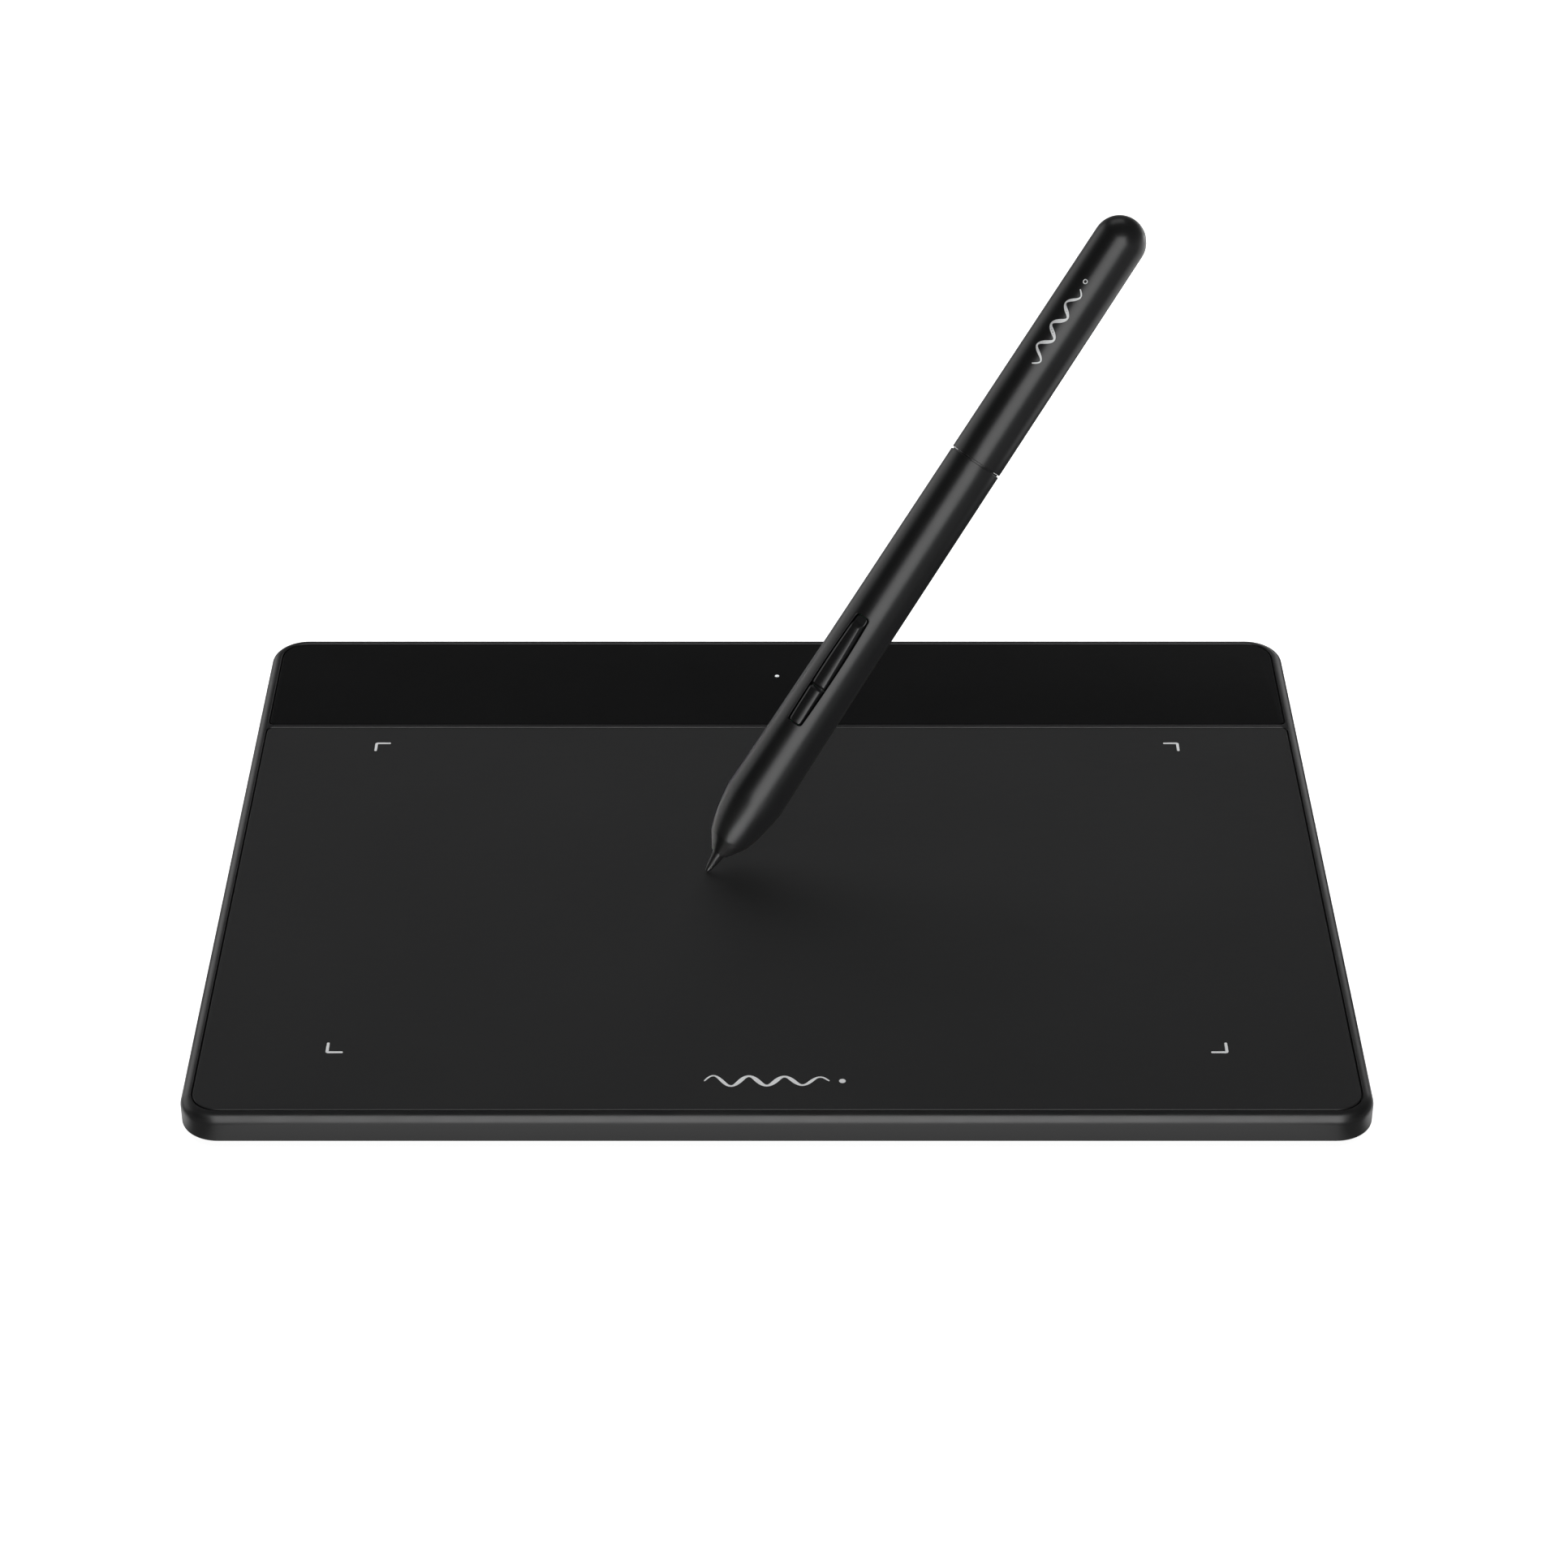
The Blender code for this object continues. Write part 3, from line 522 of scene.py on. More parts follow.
def solid(name, bm, place, sharp=40.0):
    """An object of this bmesh, with its normals pointing out, smooth but for edges sharper than this."""
    bmesh.ops.recalc_face_normals(bm, faces=bm.faces)
    mesh = bpy.data.meshes.new(name)
    bm.to_mesh(mesh)
    bm.free()
    mesh.shade_smooth()
    mesh.set_sharp_from_angle(angle=math.radians(sharp))
    return link(name, mesh, place)


def carve(obj, *steps):
    """Applies Booleans to obj, each step an operation and its helper shape, and removes the helpers."""
    for operation, helper in steps:
        modifier = obj.modifiers.new(helper.name, "BOOLEAN")
        modifier.operation = operation
        modifier.solver = "EXACT"
        modifier.object = helper
    bpy.context.view_layer.update()
    made = obj.evaluated_get(bpy.context.evaluated_depsgraph_get())
    old = obj.data
    obj.data = bpy.data.meshes.new_from_object(made)
    obj.modifiers.clear()
    obj.data.name = old.name
    bpy.data.meshes.remove(old)
    obj.data.shade_smooth()
    obj.data.set_sharp_from_angle(angle=math.radians(40.0))
    for _, helper in steps:
        bpy.data.objects.remove(helper, do_unlink=True)
    return obj


def piece(obj, finish, body, *stands_for, slot=None):
    """Gives a finished mesh its material and its body, and hides the CAD nodes that it stands for."""
    obj.data.materials.clear()
    obj.data.materials.append(MATERIALS[finish])
    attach(obj, body)
    if stands_for:
        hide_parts(*stands_for)
    return obj


def loft(name, rings, place, sharp=40.0):
    """A solid through rings of equally many points in space."""
    bm = bmesh.new()
    loops = [[bm.verts.new(point) for point in ring] for ring in rings]
    for low, high in zip(loops, loops[1:]):
        bridge(bm, low, high)
    bm.faces.new(loops[0][::-1])
    bm.faces.new(loops[-1])
    return solid(name, bm, place, sharp)


def bridge(bm, one, other, closed=True):
    """Quads between two rows of equally many vertices."""
    count = len(one)
    for k in range(count if closed else count - 1):
        after = (k + 1) % count
        bm.faces.new((one[k], one[after], other[after], other[k]))


def level(outline, z):
    return [(x, y, z) for x, y in outline]


def upright(outline, y, centre):
    """An outline in X and Z about a height, at this Y."""
    return [(x, y, z + centre) for x, z in outline]


def turned(name, profile, place, steps=STYLUS_STEPS, sharp=40.0):
    """A solid of revolution about Z, from a closed profile of (height, radius) points."""
    bm = bmesh.new()
    points = [bm.verts.new((radius, 0.0, height)) for height, radius in profile]
    closes = profile[0][1] > 0 or profile[-1][1] > 0
    following = points[1:] + points[:1] if closes else points[1:]
    edges = [bm.edges.new(pair) for pair in zip(points, following)]
    bmesh.ops.spin(
        bm, geom=points + edges, cent=(0, 0, 0), axis=(0, 0, 1),
        angle=math.tau, steps=steps, use_merge=True,
    )
    bmesh.ops.remove_doubles(bm, verts=bm.verts, dist=0.0005 * MM)
    return solid(name, bm, place, sharp)


def tablet_rod(name, centre, radius, low, high, steps=32):
    """An upright rod in the tablet's frame."""
    circle = [(centre[0] + x, centre[1] + y) for x, y in arc((0, 0), radius, 0, 360, steps)[:-1]]
    return loft(name, [level(circle, low), level(circle, high)], TABLET_PLACE)


# Tablet


def flared_cutter(name, outline_at, floor, divider_lip):
    """A recess cutter whose mouth flares, which leaves a rounded lip on the recess's edge."""
    deepest = max(LIP, divider_lip)
    rings = [level(outline_at(RIM_GAP, DIVIDER_GAP), z) for z in (floor, TOP - deepest)]
    past_top = 100
    for turn in (15, 30, 45, 60, 75, 90, past_top):
        out, rise = 1 - math.cos(math.radians(turn)), math.sin(math.radians(turn))
        drop = deepest * (1 - rise) if turn < past_top else -0.04 * MM
        rings.append(level(outline_at(RIM_GAP + LIP * out, DIVIDER_GAP + divider_lip * out), TOP - drop))
    rings.append(level(outline_at(RIM_GAP + 1.2 * LIP, DIVIDER_GAP + 1.2 * divider_lip), TOP + 1 * MM))
    return loft(name, rings, TABLET_PLACE)


def lower_edge():
    """The underside bevel and the tight radius where it meets the side wall, as (inset, height)."""
    bevel_end = (0.16 * MM, SIDE_WALL_LOW - 0.06 * MM)
    return [bevel_end] + bezier(bevel_end, (0.0, SIDE_WALL_LOW), (0.0, SIDE_WALL_LOW + 0.14 * MM), 5)


def top_housing():
    """The moulded upper shell: fillets, the two recesses, the socket's mouth and the bosses."""
    bevel_inset = HOUSING_WALL - 0.5 * MM
    rings = [level(body_outline(bevel_inset), UNDERSIDE)]
    for inset, z in lower_edge():
        rings.append(level(body_outline(inset), z))
    for out, rise in arc((0, 0), TOP_FILLET, 0, 90, 16):
        rings.append(level(body_outline(TOP_FILLET - out), TOP - TOP_FILLET + rise))
    housing = loft("tablet_housing", rings, TABLET_PLACE)

    cavity = [level(body_outline(HOUSING_WALL), z) for z in (-1 * MM, CAVITY_CEILING)]
    steps = [
        ("DIFFERENCE", loft("cavity", cavity, TABLET_PLACE)),
        ("DIFFERENCE", flared_cutter("sheet_recess", sheet_outline, RECESS_FLOOR, DIVIDER_LIP)),
        ("DIFFERENCE", flared_cutter("panel_recess", panel_outline, RECESS_FLOOR, PANEL_LIP)),
    ]
    rooted, clear = CAVITY_CEILING + 0.6 * MM, TOP + 1 * MM
    for number in range(1, 7):
        centre = footprint_middle(f"cover_screw_{number}")
        boss = tablet_rod(f"boss_{number}", centre, BOSS_RADIUS, BOSS_LOW, rooted)
        pilot = tablet_rod(f"pilot_{number}", centre, PILOT_RADIUS, 0, CAVITY_CEILING)
        steps += [("UNION", boss), ("DIFFERENCE", pilot)]
    light = footprint_middle("status_light_pipe")
    light_hole = tablet_rod("light_hole", light, LIGHT_HOLE_RADIUS, CAVITY_CEILING - 1 * MM, clear)
    steps += [("DIFFERENCE", light_hole), ("DIFFERENCE", socket_mouth())]
    return piece(carve(housing, *steps), "housing_plastic", "tablet", "top_housing")


def socket_mouth():
    """A cutter for the socket's mouth, with a rounded edge where it meets the far wall."""
    centre, rounding, deep, outside = (SOCKET_LOW.z + SOCKET_HIGH.z) / 2, 0.25 * MM, 4 * MM, 1 * MM
    width = SOCKET_HIGH.x - SOCKET_LOW.x + 0.6 * MM
    height = SOCKET_HIGH.z - SOCKET_LOW.z + 0.2 * MM

    def ring(grown, y):
        return upright(stadium(width + grown, height + grown), y, centre)

    rings = [ring(0, HALF_DEPTH - deep)]
    for out, back in arc((0, 0), rounding, 180, 90, 4):
        rings.append(ring(2 * (rounding + out), HALF_DEPTH - rounding + back))
    rings.append(ring(6 * rounding, HALF_DEPTH + outside))
    return loft("socket_mouth", rings, TABLET_PLACE)


def rounded_slab(name, outline_at, low, high):
    """A slab with a rounded top edge."""
    rings = [level(outline_at(0, 0), low)]
    for out, rise in arc((0, 0), SHEET_EDGE, 0, 90, 8):
        inset = out - SHEET_EDGE
        rings.append(level(outline_at(inset, inset), high - SHEET_EDGE + rise))
    return loft(name, rings, TABLET_PLACE)


def surfaces():
    sheet = rounded_slab("drawing_surface", sheet_outline, SHEET_LOW.z, SHEET_HIGH.z)
    piece(sheet, "sheet_film", "tablet", "drawing_sheet")
    panel = rounded_slab("panel_surface", panel_outline, PANEL_LOW.z, PANEL_HIGH.z)
    light = footprint_middle("status_light_pipe")
    low, high = PANEL_LOW.z - 1 * MM, TOP + 1 * MM
    carve(panel, ("DIFFERENCE", tablet_rod("light_clearance", light, LIGHT_CLEARANCE_RADIUS, low, high)))
    piece(panel, "panel_plastic", "tablet", "top_panel")


def status_window():
    """The light pipe, with a narrowed end that leaves a dark ring round it in the panel."""
    low, high = tablet_box("status_light_pipe")
    flange = (high.x - low.x) / 2
    stem, end_radius, round_over = 0.5 * MM, 0.43 * MM, 0.06 * MM
    flange_top, neck = low.z + 0.5 * MM, high.z - 0.5 * MM
    profile = [(low.z, 0), (low.z, flange), (flange_top, flange), (flange_top, stem)]
    profile += [(neck, stem), (neck + 0.1 * MM, end_radius), (high.z - round_over, end_radius)]
    profile += bezier(profile[-1], (high.z, end_radius), (high.z, end_radius - round_over), 4)
    profile.append((high.z, 0))
    place = TABLET_PLACE @ Matrix.Translation((*footprint_middle("status_light_pipe"), 0))
    window = turned("status_window", profile, place, steps=32)
    piece(window, "light_plastic", "tablet", "status_light_pipe")


# Printed marks

INK = 0.012 * MM


def ribbon(bm, path, half_widths, at):
    """A thin closed strip along a path: at(u, v, height) places its points."""
    rows = []
    for k, ((u, v), half) in enumerate(zip(path, half_widths)):
        before, after = path[max(k - 1, 0)], path[min(k + 1, len(path) - 1)]
        run = Vector((after[0] - before[0], after[1] - before[1])).normalized()
        side = Vector((-run.y, run.x)) * half
        corners = ((side, INK), (-side, INK), (-side, -INK), (side, -INK))
        rows.append([bm.verts.new(at(u + s.x, v + s.y, h)) for s, h in corners])
    for one, other in zip(rows, rows[1:]):
        bridge(bm, one, other)
    bm.faces.new(rows[0])
    bm.faces.new(rows[-1][::-1])


def round_ended(path, half):
    """A path and its half widths, with the points that give the stroke round ends."""

    def ending(first, second):
        first, run = Vector(first), (Vector(second) - Vector(first)).normalized()
        turns = [math.radians(a) for a in (8, 30, 50, 70)]
        return [(tuple(first + run * half * (1 - math.cos(a))), half * math.sin(a)) for a in turns]

    head, tail = ending(path[0], path[1]), ending(path[-1], path[-2])
    joined = head + [(point, half) for point in path[1:-1]] + tail[::-1]
    return zip(*joined)


def on_sheet(u, v, height):
    return (u, v, TOP + height)


def corner_marks():
    """Four printed angles that frame the active area."""
    half_width, near, far = 80.0 * MM, -61.8 * MM, 39.8 * MM
    arm, half = 3.1 * MM, 0.27 * MM
    bm = bmesh.new()
    for side in (-1, 1):
        for edge, inward in ((near, 1), (far, -1)):
            corner = (side * (half_width - half), edge + inward * half)
            across = (corner[0] - side * (arm - half), corner[1])
            along = (corner[0], corner[1] + inward * (arm - half))
            bend = 0.25 * MM
            start = (corner[0] - side * bend, corner[1])
            end = (corner[0], corner[1] + inward * bend)
            path = [across, start] + bezier(start, corner, end, 4) + [along]
            ribbon(bm, *round_ended(path, half), on_sheet)
    piece(solid("corner_marks", bm, TABLET_PLACE), "printed_ink", "tablet", slot="sheet_film")


def pen_stroke(length, height, steps=60):
    """A generic wavy stroke that swells and thins."""
    path, half_widths = [], []
    waves = 3.5
    for k in range(steps + 1):
        u = k / steps
        swing = 0.42 * height * (1 - 0.30 * u)
        path.append((length * (u * 0.86 - 0.5), swing * math.sin(u * waves * math.tau)))
        swell = math.sin(math.pi * u) ** 0.6 * (0.7 + 0.3 * math.cos(u * 2 * waves * math.tau))
        half_widths.append(height * (0.03 + 0.095 * swell))
    return path, half_widths


def dot(bm, centre, radius, at):
    turns = [math.radians(a) for a in range(4, 177, 12)]
    path = [(centre[0] - radius * math.cos(a), centre[1]) for a in turns]
    ribbon(bm, path, [radius * math.sin(a) for a in turns], at)


def flourish(where, size, at, place, body, slot):
    """A generic flourish: a wavy stroke and a dot after it."""
    length, height = size
    bm = bmesh.new()
    ribbon(bm, *pen_stroke(length, height), at)
    dot(bm, (length * 0.45, 0), height * 0.16, at)
    piece(solid(f"{where}_flourish", bm, place), "printed_ink", body, slot=slot)


PARTING_PLACE = reach("pen_rear_barrel")[0]
DOME_PLACE = reach("pen_rear_barrel")[1] - TAIL_RADIUS
TAIL_MARK_PLACE, TAIL_MARK_TURN = 122.3 * MM, math.radians(4)
SHEET_MARK_Y = -69.8 * MM


def marks():
    corner_marks()

    def low_on_sheet(u, v, height):
        return on_sheet(u, v + SHEET_MARK_Y, height)

    def on_tail(u, v, height):
        place = TAIL_MARK_PLACE + u
        skin = between([(PARTING_PLACE, PARTING_RADIUS), (DOME_PLACE, TAIL_RADIUS)], place)
        turn, radius = v / skin + TAIL_MARK_TURN, skin + height
        return (radius * math.cos(turn), radius * math.sin(turn), place)

    flourish("sheet", (25.5 * MM, 3.7 * MM), low_on_sheet, TABLET_PLACE, "tablet", "sheet_film")
    flourish("tail", (18.7 * MM, 2.9 * MM), on_tail, STYLUS_PLACE, "pen_tail", "barrel_plastic")


# Stylus


def grip_profile():
    """The front barrel's outer profile: nose, cone, swelling and tapered tube, as (place, radius)."""
    end = reach("pen_front_barrel")[1]
    nose_edge = (NOSE, NOSE_RADIUS - EDGE_ROUND)
    nose_side = (NOSE + EDGE_ROUND * 1.2, NOSE_RADIUS + EDGE_ROUND * 0.6)
    points = [nose_edge] + bezier(nose_edge, (NOSE, NOSE_RADIUS), nose_side, 4)
    slope = (CONE_END[1] - NOSE_RADIUS) / (CONE_END[0] - NOSE)
    short = 0.12 * MM
    before = (CONE_END[0] - short, CONE_END[1] - short * slope)
    after = (CONE_END[0] + short, CONE_END[1] + short * 0.42)
    points += straight(nose_side, before, 4)
    points += bezier(before, CONE_END, after, 4)
    points += bezier(after, (10.35 * MM, 5.02 * MM), SWELL, 16)
    points += bezier(SWELL, (30.3 * MM, 5.53 * MM), (GRIP_END, GRIP_RADIUS), 20)
    points.append((end - EDGE_ROUND, PARTING_RADIUS))
    points += bezier(points[-1], (end, PARTING_RADIUS), (end, PARTING_RADIUS - EDGE_ROUND), 4)
    return points + [(end + 0.01 * MM, COLLAR_RADIUS), (end + COLLAR_LENGTH, COLLAR_RADIUS)]


def bore_profile():
    end = reach("pen_front_barrel")[1]
    return [
        (NOSE, NIB_HOLE), (6.4 * MM, NIB_HOLE), (8.1 * MM, 2.3 * MM), (9.8 * MM, 3.3 * MM),
        (21 * MM, 3.3 * MM), (22.8 * MM, BORE), (end, BORE),
    ]


def key_half_width(place):
    """The opening's half width along the stylus: widest in the middle, narrowest at the upper end."""
    middle, half = (KEY_LOW + KEY_HIGH) / 2, (KEY_HIGH - KEY_LOW) / 2
    share = (place - middle) / half
    end_half_width = KEY_LOW_HALF_WIDTH if share < 0 else KEY_HIGH_HALF_WIDTH
    return KEY_HALF_WIDTH - (KEY_HALF_WIDTH - end_half_width) * share * share


def resampled(points, count):
    """This many points, evenly spaced along a line through the given ones."""
    lengths = [0.0]
    for a, b in zip(points, points[1:]):
        lengths.append(lengths[-1] + math.dist(a, b))
    us = list(zip(lengths, [p[0] for p in points]))
    vs = list(zip(lengths, [p[1] for p in points]))
    total = lengths[-1]
    stops = [total * k / (count - 1) for k in range(count)]
    return [(between(us, stop), between(vs, stop)) for stop in stops]


class OpenedTube:
    """A skin of revolution with the side keys' opening in it.

    A grid of rows along the stylus and columns round it covers all but a window at +X.
    Rings of vertices run from the window's edge in to the opening's outline.
    """

    COLUMNS = STYLUS_STEPS
    SECTOR = 12
    SIDE_ROWS = 48
    END_ROWS = 3
    MARGIN = 2.4 * MM
    RINGS = 5

    def __init__(self, bm, rows, low_row, high_row):
        """rows holds (place, radius) pairs, and the window spans low_row to high_row."""
        self.bm, self.rows = bm, rows
        self.low_row, self.high_row = low_row, high_row
        self.grid = {}
        for j, (place, radius) in enumerate(rows):
            for i in range(self.COLUMNS):
                if self.inside(i, j):
                    continue
                turn = math.tau * i / self.COLUMNS
                point = (radius * math.cos(turn), radius * math.sin(turn), place)
                self.grid[i, j] = bm.verts.new(point)
        self.cover()

    def signed(self, i):
        return i if i <= self.COLUMNS // 2 else i - self.COLUMNS

    def inside(self, i, j):
        return abs(self.signed(i)) < self.SECTOR and self.low_row < j < self.high_row

    def cover(self):
        for j in range(len(self.rows) - 1):
            for i in range(self.COLUMNS):
                after = (i + 1) % self.COLUMNS
                in_window = -self.SECTOR <= self.signed(i) < self.SECTOR
                if in_window and self.low_row <= j < self.high_row:
                    continue
                corners = ((i, j), (after, j), (after, j + 1), (i, j + 1))
                self.bm.faces.new([self.grid[c] for c in corners])

    def end_row(self, j):
        return [self.grid[i, j] for i in range(self.COLUMNS)]

    def window(self):
        """The grid's vertices round the window, anticlockwise seen from outside."""
        half, low, high = self.SECTOR, self.low_row, self.high_row
        around = [(i, low) for i in range(-half, half + 1)]
        around += [(half, j) for j in range(low + 1, high + 1)]
        around += [(i, high) for i in range(half - 1, -half - 1, -1)]
        around += [(-half, j) for j in range(high - 1, low, -1)]
        return [self.grid[i % self.COLUMNS, j] for i, j in around]

    def on_skin(self, y, place, depth=0.0):
        radius = between(self.rows, place)
        return (math.sqrt(max(radius * radius - y * y, 0.0)) - depth, y, place)

    def open(self, outline, lip):
        """Closes the window down to the outline, with a rounded lip, and returns the last ring."""
        edge, count, lip_steps = self.window(), len(outline), 5
        outward = []
        for k in range(count):
            run = Vector(outline[(k + 1) % count]) - Vector(outline[k - 1])
            outward.append(Vector((run.y, -run.x)).normalized())
        ring = edge
        for k in range(1, self.RINGS + 1):
            share = 1 - (1 - k / self.RINGS) ** 1.5
            made = []
            for vertex, (y, place), out in zip(edge, outline, outward):
                target = Vector((y, place)) + out * lip
                here = Vector((vertex.co.y, vertex.co.z)).lerp(target, share)
                made.append(self.bm.verts.new(self.on_skin(here.x, here.y)))
            bridge(self.bm, ring, made)
            ring = made
        for k in range(1, lip_steps + 1 if lip else 0):
            turn = math.radians(90 * k / lip_steps)
            made = []
            for (y, place), out in zip(outline, outward):
                here = Vector((y, place)) + out * lip * (1 - math.sin(turn))
                made.append(self.bm.verts.new(self.on_skin(here.x, here.y, lip * (1 - math.cos(turn)))))
            bridge(self.bm, ring, made)
            ring = made
        return ring


def side_rows():
    """Even places along the straight part of the keys' opening."""
    first, last = KEY_LOW + KEY_CORNER, KEY_HIGH - KEY_CORNER
    return [first + (last - first) * k / OpenedTube.SIDE_ROWS for k in range(OpenedTube.SIDE_ROWS + 1)]


def window_rows(profile):
    """The profile's places with even rows over the keys, and the numbers of the window's end rows."""
    sides, ends = side_rows(), OpenedTube.END_ROWS
    step = (KEY_CORNER + OpenedTube.MARGIN) / ends
    below = [KEY_LOW - OpenedTube.MARGIN + step * k for k in range(ends)]
    above = [sides[-1] + step * k for k in range(1, ends + 1)]
    middle = below + sides + above
    apart, longest = 0.4 * MM, 4 * MM
    ahead = [p for p, _ in profile if p < middle[0] - apart]
    behind = [p for p, _ in profile if p > middle[-1] + apart]
    gap, parts = behind[0] - middle[-1], 12
    if gap > longest:
        behind = [middle[-1] + gap * k / parts for k in range(1, parts)] + behind
    return ahead + middle + behind, len(ahead), len(ahead) + len(middle) - 1


def opening_outline():
    """The keys' opening in (y, place), with one point for each vertex round the window."""
    right = [(key_half_width(p), p) for p in side_rows()]
    count = 2 * OpenedTube.SECTOR + 2 * OpenedTube.END_ROWS + 1

    def end(y, place, turn):
        """An end of the opening, from its corner about (y, place) to the one about (-y, place)."""
        corner = arc((y, place), KEY_CORNER, turn, turn + 90, 12)
        return resampled(corner + arc((-y, place), KEY_CORNER, turn + 90, turn + 180, 12), count)

    low_end = end(KEY_CORNER - right[0][0], right[0][1], 180)
    high_end = end(right[-1][0] - KEY_CORNER, right[-1][1], 0)
    left = [(-y, p) for y, p in reversed(right)]
    around = low_end + right[1:-1] + high_end + left[1:-1]
    turn = OpenedTube.END_ROWS
    return around[turn:] + around[:turn]


def front_barrel():
    profile = grip_profile()
    places, low_row, high_row = window_rows(profile)
    bm = bmesh.new()
    outer_rows = outer_table(profile, places)
    outer = OpenedTube(bm, outer_rows, low_row, high_row)
    inner = OpenedTube(bm, [(p, between(bore_profile(), p)) for p, _ in outer_rows], low_row, high_row)
    outline = opening_outline()
    bridge(bm, outer.open(outline, EDGE_ROUND), inner.open(outline, 0.0))
    for end in (0, len(places) - 1):
        bridge(bm, outer.end_row(end), inner.end_row(end))
    return piece(solid("grip_barrel", bm, STYLUS_PLACE), "barrel_plastic", "pen", "pen_front_barrel")


def outer_table(profile, places):
    """(place, radius) for each row. Rows of the profile itself keep their own radius."""
    own = {}
    for place, radius in profile:
        own.setdefault(place, []).append(radius)
    table = []
    for place in places:
        radii = own.get(place)
        table.append((place, radii.pop(0) if radii else between(profile, place)))
    return table


def key_rows(low, high):
    """Places along a key, closer together near its ends."""
    fine, coarse = 14, 30
    ramp = 1.2 * MM
    rows = [low + ramp * (k / fine) ** 2 for k in range(fine)]
    rows += [low + ramp + (high - low - 2 * ramp) * k / coarse for k in range(coarse)]
    rows += [high - ramp * (1 - k / fine) ** 2 for k in range(fine + 1)]
    return rows


def side_key(name, low, high, crest_radius, body, node):
    """A crowned key with steep flanks and rounded ridges.

    crest_radius(place) is its top's radius about the stylus's axis. The opening is narrower
    at its ends, and so is the key.
    """
    base, foot, round_over = 3.09 * MM, 4.55 * MM, 0.15 * MM
    corner, crest_steps = KEY_CORNER - KEY_GAP, 20
    rings = []
    for place in key_rows(low, high):
        half = key_half_width(place) - KEY_GAP
        for inward in (place - (KEY_LOW + KEY_GAP), KEY_HIGH - KEY_GAP - place):
            if inward < corner:
                half -= corner - math.sqrt(max(corner ** 2 - (corner - inward) ** 2, 0.0))
        radius = crest_radius(place)
        crown = 1 - ease((place - SLOPE_START) / (0.5 * MM))

        def crest(y):
            lean = max(y / half, 0.0)
            return math.sqrt(radius ** 2 - crown * y * y) - RIGHT_DROP * crown * lean * lean

        def side(ridge, way):
            """Half of the section, from the base up to the crest's edge."""
            top = crest(ridge)
            root = min(foot, top - 0.35 * MM)
            flank = (top - round_over, ridge + (half - ridge) * round_over / (top - root))
            inner = (crest(ridge - round_over), ridge - round_over)
            points = [(base, half), (root, half), flank] + bezier(flank, (top, ridge), inner, 6)
            return [(x, y * way) for x, y in points]

        right = side(min(between(RIGHT_RIDGE, place), half - 0.30 * MM), 1)
        left = side(half - LEFT_FLANK, -1)
        start, end = right[-1][1], left[-1][1]
        between_ridges = [start + (end - start) * k / crest_steps for k in range(1, crest_steps)]
        across = [(crest(y), y) for y in between_ridges]
        rings.append([(x, y, place) for x, y in right + across + left[::-1]])
    key = loft(name, rings, STYLUS_PLACE, 50.0)
    return piece(key, "key_plastic", body, node)


def side_keys():
    """Both keys share one opening and dip where they meet. The upper one's far end slopes away."""
    valley, valley_depth = 0.55 * MM, 0.40 * MM
    low, high = KEY_LOW + KEY_GAP, KEY_HIGH - KEY_GAP
    split, end_round = 0.06 * MM, 0.32 * MM
    lower_crest = [(low, 5.62 * MM), (36 * MM, 5.68 * MM), (KEY_BREAK, 5.58 * MM)]
    upper_crest = [
        (KEY_BREAK, 5.52 * MM), (46 * MM, 5.62 * MM), (SLOPE_START, 5.66 * MM), (high, 5.62 * MM),
    ]

    def rounded_end(distance):
        """How far the crest falls this far from a key's end."""
        left = max(end_round - distance, 0.0)
        return end_round - math.sqrt(max(end_round ** 2 - left ** 2, 0.0))

    def lower_radius(place):
        dip = valley_depth * ease((place - (KEY_BREAK - split - valley)) / valley)
        return between(lower_crest, place) - dip - rounded_end(place - low)

    def upper_radius(place):
        dip = valley_depth * ease(((KEY_BREAK + split + valley) - place) / valley)
        along = max((place - SLOPE_START) / (high - SLOPE_START), 0.0)
        return between(upper_crest, place) - dip - SLOPE_DEPTH * ease(along * 3)

    side_key("lower_side_key", low, KEY_BREAK - split, lower_radius, "lower_key", "pen_key_lower")
    side_key("upper_side_key", KEY_BREAK + split, high, upper_radius, "upper_key", "pen_key_upper")


def rear_barrel():
    start, end = reach("pen_rear_barrel")
    dome = end - TAIL_RADIUS
    outer = [(start, PARTING_RADIUS - EDGE_ROUND)]
    outer += bezier(outer[0], (start, PARTING_RADIUS), (start + EDGE_ROUND, PARTING_RADIUS), 4)
    outer += straight(outer[-1], (dome, TAIL_RADIUS), 12)[:-1]
    outer += arc((dome, 0), TAIL_RADIUS, 90, 0, 28)
    outer[-1] = (end, 0)
    inner = [(dome - 1 * MM, 0), (dome - 1.5 * MM, 2.5 * MM), (dome - 4 * MM, BORE), (start, BORE)]
    barrel = turned("tail_barrel", outer + inner, STYLUS_PLACE)
    piece(barrel, "barrel_plastic", "pen_tail", "pen_rear_barrel")


def nib():
    """The nib's worn round point, its cone and the shank that plugs into the holder."""
    low, high = reach("nib")
    shoulder, shank, neck = 6.0 * MM, 0.85 * MM, 1.25 * MM
    round_point, cone_start = 0.45 * MM, (0.3 * MM, 0.48 * MM)
    point = [(low, 0.0)] + bezier((low, 0.0), (low, round_point * 0.75), cone_start, 8)
    cone = bezier(cone_start, (1.8 * MM, 0.86 * MM), (NOSE, neck), 12)
    profile = point + cone + [(shoulder, neck), (shoulder, shank), (high, shank), (high, 0.0)]
    piece(turned("nib_point", profile, STYLUS_PLACE, steps=64), "nib_plastic", "nib", "nib")


# CAD pieces that stay


